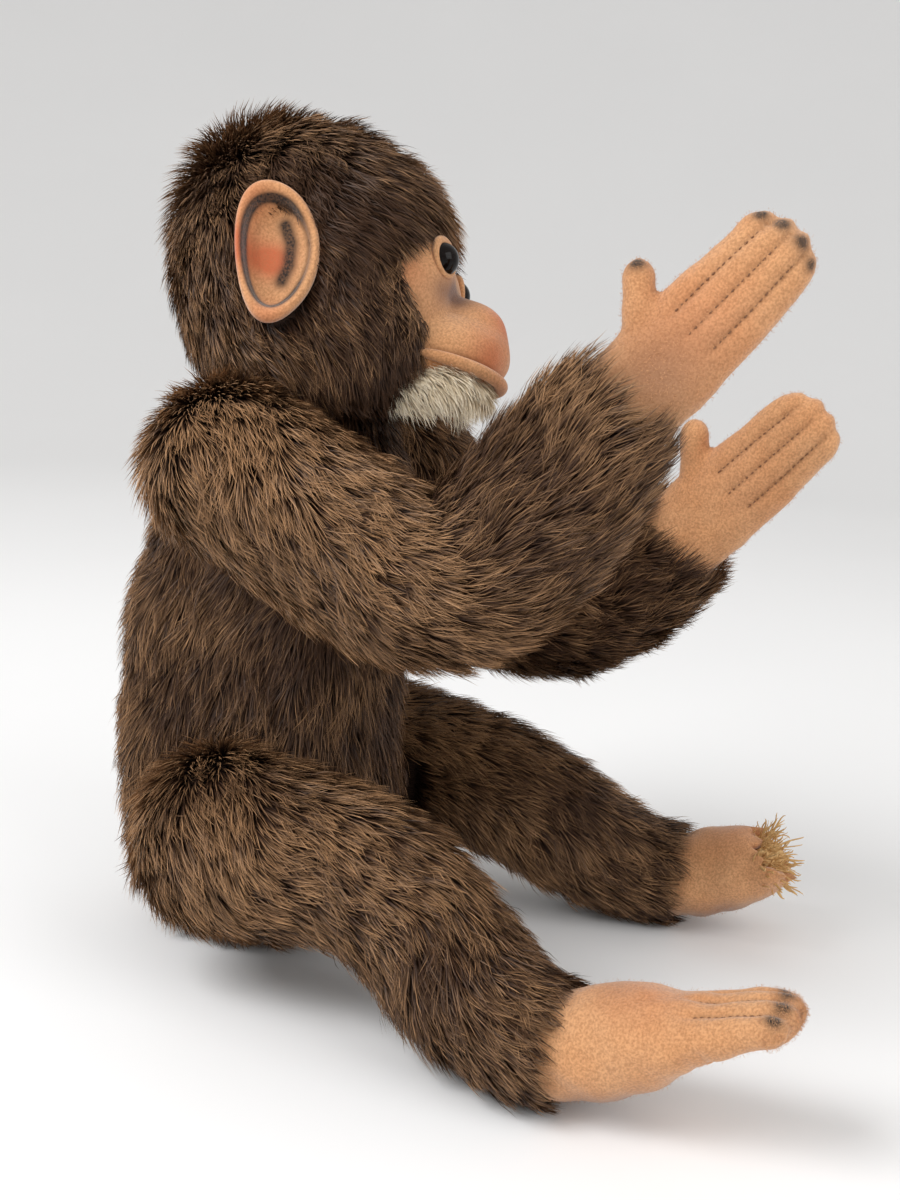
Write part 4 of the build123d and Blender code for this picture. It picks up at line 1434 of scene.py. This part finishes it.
            press += stretch * np.exp(-(((v - share * half) / 1.05) ** 2))
        for share in (-0.76, -0.25, 0.25, 0.76):
            swell += ease(a, 24, 34) * np.exp(-(((v - share * half) / 2.3) ** 2)) * (1 - ease(a, 50, 57))
        tips = ease(a, 50, 57) * 0.4 * np.cos(v / half * 4 * np.pi + np.pi) + 4.6 * ease(a, 22, 56)
        soft = 0.28 * ripple(net.points, 13, 7) + 0.12 * ripple(net.points, 5, 8)
        pucker = 0.18 * press * np.cos(a * 2 * np.pi / 2.1)
        net.points = net.points + normals * ((swell * 0.45 - press * 0.8 + pucker) * flat + soft)[:, None]
        net.points = net.points + ahead * np.where(np.abs(v) < half + 1, tips, 0)[:, None]
        back = -np.sign((out * (1, 0, 0)).sum() or 1.0)
        dark, violet, red = np.zeros(len(a)), np.zeros(len(a)), np.zeros(len(a))
        outer = ease(u * back, 0.0, 2.4)
        for share in (-0.76, -0.26, 0.26, 0.74):
            spot = wrist + ahead * (60.6 - 2.6 * abs(share)) + up * share * 12.2 + out * back * 3.2
            dark += 1.5 * near(net.points, spot, 2.0) * (0.4 + 0.6 * outer)
        thumb_tip = root + lean * (length - 2.0) + ahead * 2.0 + out * back * 2.5
        dark += 1.4 * near(net.points, thumb_tip, 2.2) * (0.4 + 0.6 * outer)
        # Painted shade darkens the pressed grooves between the fingers.
        for share in (-0.5, 0.0, 0.5):
            groove = np.exp(-(((v - share * half) / 0.6) ** 2)) * flat
            dark += 0.28 * ease(a, 25, 30) * groove * (1 - ease(a, 53, 57))
        violet += 0.5 * near(net.points, wrist + ahead * 14 + out * back * 8 - up * 2, 13) * outer
        violet += 0.25 * near(net.points, wrist + ahead * 5 + up * 8, 8)
        red += 0.22 * near(net.points, wrist + ahead * 30 + out * back * 8, 14)
        net.values = {Shade.DARK.value: np.clip(dark, 0, 1), Shade.VIOLET.value: np.clip(violet, 0, 1),
                      Shade.RED.value: np.clip(red, 0, 1)}
        threads: list[Shell] = []
        for face in (-1.0, 1.0):
            for share in (-0.5, 0.0, 0.5):
                at = np.linspace(26 + 3 * abs(share), 57.0 - 1.5 * abs(share), 40)
                across = share * np.interp(at, [0, 20, 40, 58], [14.5, 13.6, 13.2, 11.5])
                seam = wrist + ahead * at[:, None] + up * across[:, None]
                seam, lift = drop_to(net.points, normals, seam, out * face)
                threads += stitches(seam, lift)
        if self.side is Side.LEFT:
            net.points = net.points * (-1, 1, 1)
            net.quads = net.quads[:, ::-1]
            normals = normals * (-1, 1, 1)
            threads = [Shell(shell.grid * (-1, 1, 1)) for shell in threads]
        return net, normals, threads

    def build(self, wardrobe: Wardrobe, seed: int) -> None:
        """Builds and dresses the arm."""
        word, body = self.side.word, f"{self.side.word}_arm"
        skin = self.skin()
        piece(f"{body}_backing", Net.of([skin]), wardrobe.backing, body, [f"{body}_skin"])
        packing = Net.of([self.skin(1.9)])
        piece(f"{body}_packing", packing, wardrobe.wood_wool, body, [f"{body}_stuffing"])
        net, normals, threads = self.mitt()
        hand = [f"{word}_hand_felt", f"{word}_hand_stuffing"]
        piece(f"{word}_mitt", net, wardrobe.felt, body, hand)
        piece(f"{word}_mitt_thread", Net.of(threads), wardrobe.thread, body)
        loose = strands_net(fuzz(net, normals, 9000, seed + 50))
        loose.values[Shade.DARK.value] = np.zeros(len(loose.points))
        piece(f"{word}_mitt_fuzz", loose, wardrobe.felt, body)
        blades = self.pile.grow(skin, self.brush, self.keep, seed, self.shape, self.shade)
        lay_pile(body, blades, wardrobe.mohair, body, 2, 1)


# ---- Legs -------------------------------------------------------------------------------------------
@dataclass
class Leg:
    """One mohair leg with its packing, and the felt foot, whole or torn."""

    side: Side
    torn: bool
    hip: tuple[float, float, float] = (-47.0, -1.0, 46.5)
    knee: tuple[float, float, float] = (-47.2, -52.0, 41.6)
    ankle: tuple[float, float, float] = (-62.0, -111.0, 16.0)
    foot_length: float = 67.0
    foot_rise: float = 25.0
    half: tuple[float, float] = (18.4, 22.5)
    ankle_radius: float = 16.0
    foot_half: tuple[float, float] = (13.8, 13.2)
    toe_half: float = 5.0
    toe_round: float = 8.0
    torn_length: float = 37.0
    cheek: float = 28.15
    # The pile's base tone is a little darker here than on the arms, partly painted shade.
    pile: Pile = Pile(density=2.15, length=13.5, lean=52, width=0.185, clump=3.2, lock=8.0, tone=0.44)

    def directions(self) -> tuple[np.ndarray, np.ndarray, np.ndarray]:
        """The shin's, the foot's and the heel's directions."""
        ankle = np.array(self.ankle)
        reach = math.sqrt(self.foot_length**2 - self.foot_rise**2)
        toe = ankle + (-1, -reach, self.foot_rise)
        shin, foot = unit(ankle - np.array(self.knee)), unit(toe - ankle)
        return shin, foot, unit(shin + foot * 1.5)

    def trouser(self) -> Tube:
        """The mohair tube from hip to cuff."""
        hip, knee, ankle = (np.array(p, float) for p in (self.hip, self.knee, self.ankle))
        w, h = self.half
        cuff = self.ankle_radius - 0.6
        rows = (
            (0, w + 3.6, h + 1), (0.1, w + 2.8, h + 0.5), (0.25, w, h - 1.5), (0.45, w - 0.2, h - 3.5),
            (0.65, w - 1.2, h - 4.7), (0.85, cuff + 0.4, cuff + 0.6), (1, cuff, cuff),
        )
        spine = Spine(np.array([hip, knee, ankle]), knee - hip, self.directions()[2])
        return Tube(spine, rows, start_reach=h + 1)

    def skin(self, inset: float = 0.0) -> Shell:
        """The trouser with its inner face flat against the torso and nothing under the ground."""
        shell = self.trouser().shell(84, 72, self.side, inset)
        shell.grid[..., 2] = np.maximum(shell.grid[..., 2], 0.2 + inset)
        return pressed(shell, self.side, self.cheek + inset, self.hip[1:], 30)

    def keep(self, places: np.ndarray, normals: np.ndarray) -> np.ndarray:
        """No strands on the flat face or inside the cuff."""
        round_joint = np.hypot(places[:, 1] - self.hip[1], places[:, 2] - self.hip[2]) < 27
        share = np.where(round_joint & (places[:, 0] * self.side.value < self.cheek + 0.3), 0.0, 1.0)
        flip = np.array([-self.side.value, 1, 1])
        ankle, ahead = np.array(self.ankle) * flip, self.directions()[2] * flip
        share[((places - ankle) @ ahead > -0.3) & (normals @ ahead > 0.6)] = 0
        return share

    def brush(self, places: np.ndarray, normals: np.ndarray) -> np.ndarray:
        """Along the leg to the cuff."""
        t = np.linspace(0, 1, 60)
        centre, ahead = self.trouser().spine.at(t)
        if self.side is Side.LEFT:
            centre, ahead = centre * (-1, 1, 1), ahead * (-1, 1, 1)
        nearest = ((places[:, None] - centre[None]) ** 2).sum(2).argmin(1)
        outward = np.array([self.side.value * 0.7, 0.15, -0.6]) * (1 - ease(t[nearest], 0.0, 0.26))[:, None]
        return ahead[nearest] + outward + np.array([0, 0, -0.2])

    def shape(self, places: np.ndarray) -> tuple[np.ndarray, np.ndarray]:
        """Shorter strands near the ground and at the cuff."""
        low = 0.45 + 0.55 * ease(places[:, 2], 0, 20)
        cuff = 1 - 0.3 * ease(-places[:, 1], 92, 112)
        return low * cuff, np.ones(len(places))

    def shade(self, places: np.ndarray) -> np.ndarray:
        """Painted light and shade: paler over the hip, darker underneath and towards the ankle."""
        far = -places[:, 1]
        return 0.2 - 0.34 * ease(far, 0, 95) - 0.2 * (1 - ease(places[:, 2], 6, 34))

    def sock(self) -> Tube:
        """The felt foot's tube, high at the heel and thin at the toes."""
        _, foot, heel = self.directions()
        ankle = np.array(self.ankle)
        bend = ankle + foot * self.foot_length * 0.42 + (0, 0, -1.5)
        reach = math.sqrt(self.foot_length**2 - self.foot_rise**2)
        last = ankle + (-1, -reach, self.foot_rise) - foot * self.toe_round
        w, h = self.foot_half
        rows = (
            (0, w, h), (0.2, w + 0.6, h), (0.45, w + 0.4, h - 1.4), (0.66, w - 0.3, h - 5),
            (0.85, w - 1.2, self.toe_half + 0.8), (1, w - 2.4, self.toe_half),
        )
        return Tube(Spine(np.array([ankle, bend, last]), heel, foot), rows, end_reach=self.toe_round)

    def foot(self) -> tuple[Net, np.ndarray, list[Shell]]:
        """The felt foot with its toe seams, creases and sprayed nails; a torn one ends in a ragged edge."""
        tube = self.sock()
        shell = tube.shell(130, 96, Side.RIGHT)
        ankle = np.array(self.ankle)
        _, foot, _ = self.directions()
        across = unit(np.array([1.0, 0, 0]) - foot * foot[0])
        up = np.cross(foot, across)
        up = up if up[2] > 0 else -up
        normals = shell.normals()[:-2].reshape(shell.grid.shape)
        grid = shell.grid
        a, v, h = (grid - ankle) @ foot, (grid - ankle) @ across, (grid - ankle) @ up
        half = np.interp(a, [0, 20, 40, 67], [13.8, 14.2, 13.6, 11.4])
        flat = ease(np.abs(normals @ up), 0.25, 0.6)
        press, swell = np.zeros_like(a), np.zeros_like(a)
        for share in (-0.5, 0.0, 0.5):
            stretch = ease(a, 36, 43) * (1 - ease(a, 62, 66))
            press += stretch * np.exp(-(((v - share * half) / 1.0) ** 2))
        for share in (-0.76, -0.25, 0.25, 0.76):
            swell += ease(a, 38, 48) * np.exp(-(((v - share * half) / 2.2) ** 2)) * (1 - ease(a, 60, 66))
        instep = 2.6 * near(grid, ankle + foot * 19 + up * 11, 13)
        wrinkle = 0.55 * np.exp(-(((a - 38 + 0.25 * h) / 1.6) ** 2)) * ease(-normals @ up, -0.3, 0.6)
        wrinkle += 0.4 * np.exp(-(((a - 43 + 0.2 * h) / 1.4) ** 2)) * ease(-normals @ up, -0.5, 0.5)
        soft = 0.35 * ripple(grid, 15, 9) + 0.14 * ripple(grid, 6, 10)
        tips = ease(a, 58, 66) * 0.4 * np.cos(v / half * 4 * np.pi + np.pi)
        grid = grid + normals * ((swell * 0.5 - press * 0.9) * flat + soft + instep - wrinkle)[..., None]
        grid = grid + foot * tips[..., None]
        grid[..., 2] = np.maximum(grid[..., 2], 0.25)
        if self.torn:
            angle = np.arctan2(h, v)
            ragged = 1.4 * np.cos(angle * 5 + 1) + 1.0 * np.cos(angle * 11 + 2) + 0.7 * np.cos(angle * 23)
            limit = self.torn_length - 1.5 + ragged + 0.14 * v - 0.42 * h
            over = np.maximum(a - limit, 0)
            turn = ease(over, 0, 5)
            inside = ankle + foot * (limit - 1.5)[..., None]
            folded = grid - foot * over[..., None]
            grid = folded * (1 - turn[..., None]) + turn[..., None] * (
                inside + across * (v * 0.80)[..., None] + up * (h * 0.80)[..., None]
            )
            grid = grid - foot * (np.minimum(np.maximum(over - 5, 0), 12) * 0.8)[..., None]
            grid[over > 17] = ankle + foot * 22
        net = Net.of([Shell(grid)])
        normals = Shell(grid).normals()
        p = net.points
        dark, violet, red = np.zeros(len(p)), np.zeros(len(p)), np.zeros(len(p))
        a, v, h = (p - ankle) @ foot, (p - ankle) @ across, (p - ankle) @ up
        if not self.torn:
            for share in (-0.74, -0.25, 0.25, 0.74):
                spot = ankle + foot * (64 - 1.8 * abs(share)) + across * share * 11.4 + up * 3.2
                dark += 1.4 * near(p, spot, 2.2)
            # Painted shade darkens the pressed grooves between the toes.
            for share in (-0.5, 0.0, 0.5):
                groove = np.exp(-(((v - share * 12.4) / 0.6) ** 2))
                dark += 0.25 * ease(a, 40, 46) * groove * (1 - ease(a, 61, 65))
        low = ease(-h, 5, 13)
        violet += 0.8 * low * near(p, ankle + foot * 12 - up * 12, 18)
        violet += 0.18 * near(p, ankle + foot * 22 + up * 13, 9)
        red += 0.2 * near(p, ankle + foot * 30 + up * 10, 12)
        net.values = {Shade.DARK.value: np.clip(dark, 0, 1), Shade.VIOLET.value: np.clip(violet, 0, 0.8),
                      Shade.RED.value: np.clip(red, 0, 1)}
        threads: list[Shell] = []
        for face in () if self.torn else (-1.0, 1.0):
            for share in (-0.5, 0.0, 0.5):
                at = np.linspace(42, 60.5, 26)
                sideways = share * np.interp(at, [40, 67], [13.6, 11.4])
                line = ankle + foot * at[:, None] + across * sideways[:, None]
                line, lift = drop_to(p, normals, line, up * face)
                threads += stitches(line, lift)
        if self.side is Side.LEFT:
            net.points, normals = net.points * (-1, 1, 1), normals * (-1, 1, 1)
            net.quads, net.fans = net.quads[:, ::-1], net.fans[:, ::-1]
            threads = [Shell(s.grid * (-1, 1, 1)) for s in threads]
        return net, normals, threads

    def straw(self, seed: int) -> list[Shell]:
        """Wood wool that springs out of the tear: thin flat curled strands."""
        rng = np.random.default_rng(seed)
        _, foot, _ = self.directions()
        across = unit(np.array([1.0, 0, 0]) - foot * foot[0])
        up = np.cross(foot, across)
        flip = np.array([-1, 1, 1]) if self.side is Side.LEFT else np.ones(3)
        found = []
        for _ in range(190):
            a, r = rng.uniform(0, 2 * np.pi), 10.5 * math.sqrt(rng.uniform())
            root = np.array(self.ankle) + foot * (self.torn_length - 6)
            root = root + across * r * math.cos(a) + up * r * 0.62 * math.sin(a)
            t = np.linspace(0, 1, 12)
            length = rng.uniform(5, 13)
            out = foot * rng.uniform(0.5, 1.2) + across * math.cos(a) * rng.uniform(0, 1.0)
            out = unit(out + up * rng.normal(0.1, 0.6))
            curl = unit(rng.normal(size=3)) * rng.uniform(2.0, 7.5)
            curl_two = unit(rng.normal(size=3)) * rng.uniform(0.3, 1.6)
            line = root + out * length * t[:, None] + curl * (t**2)[:, None] * np.sin(t * 2.6)[:, None]
            line = line + curl_two * np.sin(t * rng.uniform(4, 10))[:, None] * t[:, None]
            line[:, 2] = np.maximum(line[:, 2], 0.7)
            radius = rng.uniform(0.25, 0.6) * np.sqrt(np.clip(1.02 - t**6, 0.05, 1))
            found.append(Shell(cordlike(line, radius, 5, 0.45).grid * flip))
        return found

    def packing_end(self) -> Shell:
        """The packing that shows inside the tear, as a lumpy plug."""
        _, foot, _ = self.directions()
        across = unit(np.array([1.0, 0, 0]) - foot * foot[0])
        up = np.cross(foot, across)
        plug = ball((0, 0, 0), (1, 1, 1), 34, 48).grid
        middle = np.array(self.ankle) + foot * 21
        grid = middle + plug @ np.stack([foot * 17.5, across * 11.3, up * 8.8])
        lumps = 0.9 * ripple(grid, 4.5, 15) + 0.5 * ripple(grid, 2.2, 16)
        grid = grid + unit(grid - middle) * lumps[..., None]
        flip = np.array([-1, 1, 1]) if self.side is Side.LEFT else np.ones(3)
        return Shell(grid * flip)

    def build(self, wardrobe: Wardrobe, seed: int) -> None:
        """Builds and dresses the leg."""
        word, body = self.side.word, f"{self.side.word}_leg"
        skin = self.skin()
        piece(f"{body}_backing", Net.of([skin]), wardrobe.backing, body, [f"{body}_skin"])
        packing = Net.of([self.skin(1.9)])
        piece(f"{body}_packing", packing, wardrobe.wood_wool, body, [f"{body}_stuffing"])
        net, normals, threads = self.foot()
        nodes = [f"{word}_foot_felt"] if self.torn else [f"{word}_foot_felt", f"{word}_foot_stuffing"]
        piece(f"{word}_sock", net, wardrobe.felt, body, nodes)
        if self.torn:
            straw = Net.of([self.packing_end(), *self.straw(seed + 70)])
            nodes = [f"{word}_foot_stuffing"]
            piece(f"{word}_straw", straw, wardrobe.wood_wool, body, nodes)
        else:
            piece(f"{word}_sock_thread", Net.of(threads), wardrobe.thread, body)
        loose = strands_net(fuzz(net, normals, 7000, seed + 60))
        piece(f"{word}_sock_fuzz", loose, wardrobe.felt, body)
        blades = self.pile.grow(skin, self.brush, self.keep, seed, self.shape, self.shade)
        lay_pile(body, blades, wardrobe.mohair, body, 2, 1)


# ---- Joint hardware -----------------------------------------------------------------------------------
@dataclass(frozen=True)
class Joints:
    """The boards, washers and pins of the five joints, which keep their own shapes."""

    places: tuple[str, ...] = ("neck", "right_shoulder", "left_shoulder", "right_hip", "left_hip")

    def build(self, wardrobe: Wardrobe) -> None:
        """Gives each hard piece its finish."""
        for place in self.places:
            for kind in ("limb_disc", "body_disc", "limb_washer", "body_washer", "cotter_pin"):
                thing = bpy.data.objects[f"{place}_{kind}"]
                finish = wardrobe.board if kind.endswith("disc") else wardrobe.steel
                thing.data.materials.clear()
                thing.data.materials.append(finish)
                polygons = thing.data.polygons
                polygons.foreach_set("material_index", np.zeros(len(polygons), np.int32))


# ---- Studio -------------------------------------------------------------------------------------------
@dataclass
class Studio:
    """Pale floor, soft light and the camera."""

    azimuth: float = -67.0
    elevation: float = 11.95
    distance: float = 0.509
    roll: float = 2.5
    target: tuple[float, float, float] = (0.0841, -0.0144, 0.0967)
    focal: float = 1.1391667

    def floor(self) -> None:
        """A wide pale floor whose height is 0.9 ((r - 1.3) / 1.5)^2 further than 1.3 m off."""
        mesh = bpy.data.meshes.new("studio_floor")
        r = np.r_[0.02, 0.6, 1.3, np.linspace(1.45, 3.4, 14)][:, None]
        a = np.arange(96)[None] / 96 * 2 * np.pi
        height = 0.9 * (np.maximum(r - 1.3, 0) / 1.5) ** 2 + 0 * a
        shell = Net.of([Shell(np.stack([r * np.cos(a), r * np.sin(a), height], -1))])
        faces = [*shell.quads.tolist(), *shell.fans[: len(shell.fans) // 2].tolist()]
        mesh.from_pydata(shell.points.tolist(), [], faces)
        mesh.polygons.foreach_set("use_smooth", np.ones(len(mesh.polygons), bool))
        ground = bpy.data.objects.new("studio_floor", mesh)
        bpy.context.collection.objects.link(ground)
        w = Wiring("paper_pale")
        cloud = w.noise(2.5, 3, w.places())
        w.join(w.mix(cloud, (0.86, 0.862, 0.87), (0.90, 0.902, 0.91)), w.shader.inputs["Base Color"])
        w.set(Roughness=0.9, Specular_IOR_Level=0.15)
        mesh.materials.append(w.material)

    def lamp(self, name: str, place: tuple[float, float, float], size: float, watts: float) -> None:
        """One square soft light that faces the toy."""
        data = bpy.data.lights.new(name, "AREA")
        data.size, data.energy = size, watts
        lamp = bpy.data.objects.new(name, data)
        bpy.context.collection.objects.link(lamp)
        lamp.location = place
        away = np.array(place) - (0, -0.03, 0.1)
        lamp.rotation_euler = (math.acos(away[2] / np.linalg.norm(away)), 0, math.atan2(away[0], -away[1]))

    def light(self) -> None:
        """A bright pale room, a large soft key from above and behind the camera's left, and a fill."""
        world = bpy.data.worlds.new("pale_room")
        bpy.context.scene.world = world
        world.use_nodes = True
        sky = world.node_tree.nodes["Background"]
        sky.inputs["Color"].default_value = (1.0, 0.985, 0.96, 1)
        sky.inputs["Strength"].default_value = 0.66
        self.lamp("key", (-0.75, 0.55, 1.05), 0.7, 13)
        self.lamp("front_fill", (-0.35, -1.3, 0.85), 1.0, 7)

    def camera(self) -> None:
        """The camera from its direction, distance, roll and focal length in picture heights."""
        a, e, r = (math.radians(x) for x in (self.azimuth, self.elevation, self.roll))
        back = np.array([math.sin(a) * math.cos(e), -math.cos(a) * math.cos(e), math.sin(e)])
        right = np.array([math.cos(a), math.sin(a), 0])
        up = np.cross(back, right)
        right, up = right * math.cos(r) + up * math.sin(r), up * math.cos(r) - right * math.sin(r)
        data = bpy.data.cameras.new("camera")
        data.sensor_fit, data.sensor_height, data.sensor_width = "VERTICAL", 36, 36
        data.lens = data.sensor_height * self.focal
        data.clip_start, data.clip_end = 0.01, 50
        camera = bpy.data.objects.new("camera", data)
        bpy.context.collection.objects.link(camera)
        place = np.array(self.target) + back * self.distance
        matrix = np.eye(4)
        matrix[:3, 0], matrix[:3, 1], matrix[:3, 2], matrix[:3, 3] = right, up, back, place
        camera.matrix_world = Matrix(matrix.tolist())
        bpy.context.scene.camera = camera

    def build(self) -> None:
        """Sets the studio up."""
        self.floor()
        self.light()
        self.camera()
        bpy.context.scene.view_settings.view_transform = "Standard"


def main() -> None:
    """Builds every sub-assembly in order."""
    logging.basicConfig(level=logging.INFO, format="%(name)s %(message)s")
    wardrobe = Wardrobe()
    Torso().build(wardrobe)
    Head().build(wardrobe)
    Arm(Side.RIGHT, -20.0, 1.0).build(wardrobe, 41)
    Arm(Side.LEFT, -43.0, 20.0).build(wardrobe, 42)
    Leg(Side.RIGHT, torn=False).build(wardrobe, 43)
    Leg(Side.LEFT, torn=True).build(wardrobe, 44)
    Joints().build(wardrobe)
    Studio().build()


if __name__ == "__main__":
    main()
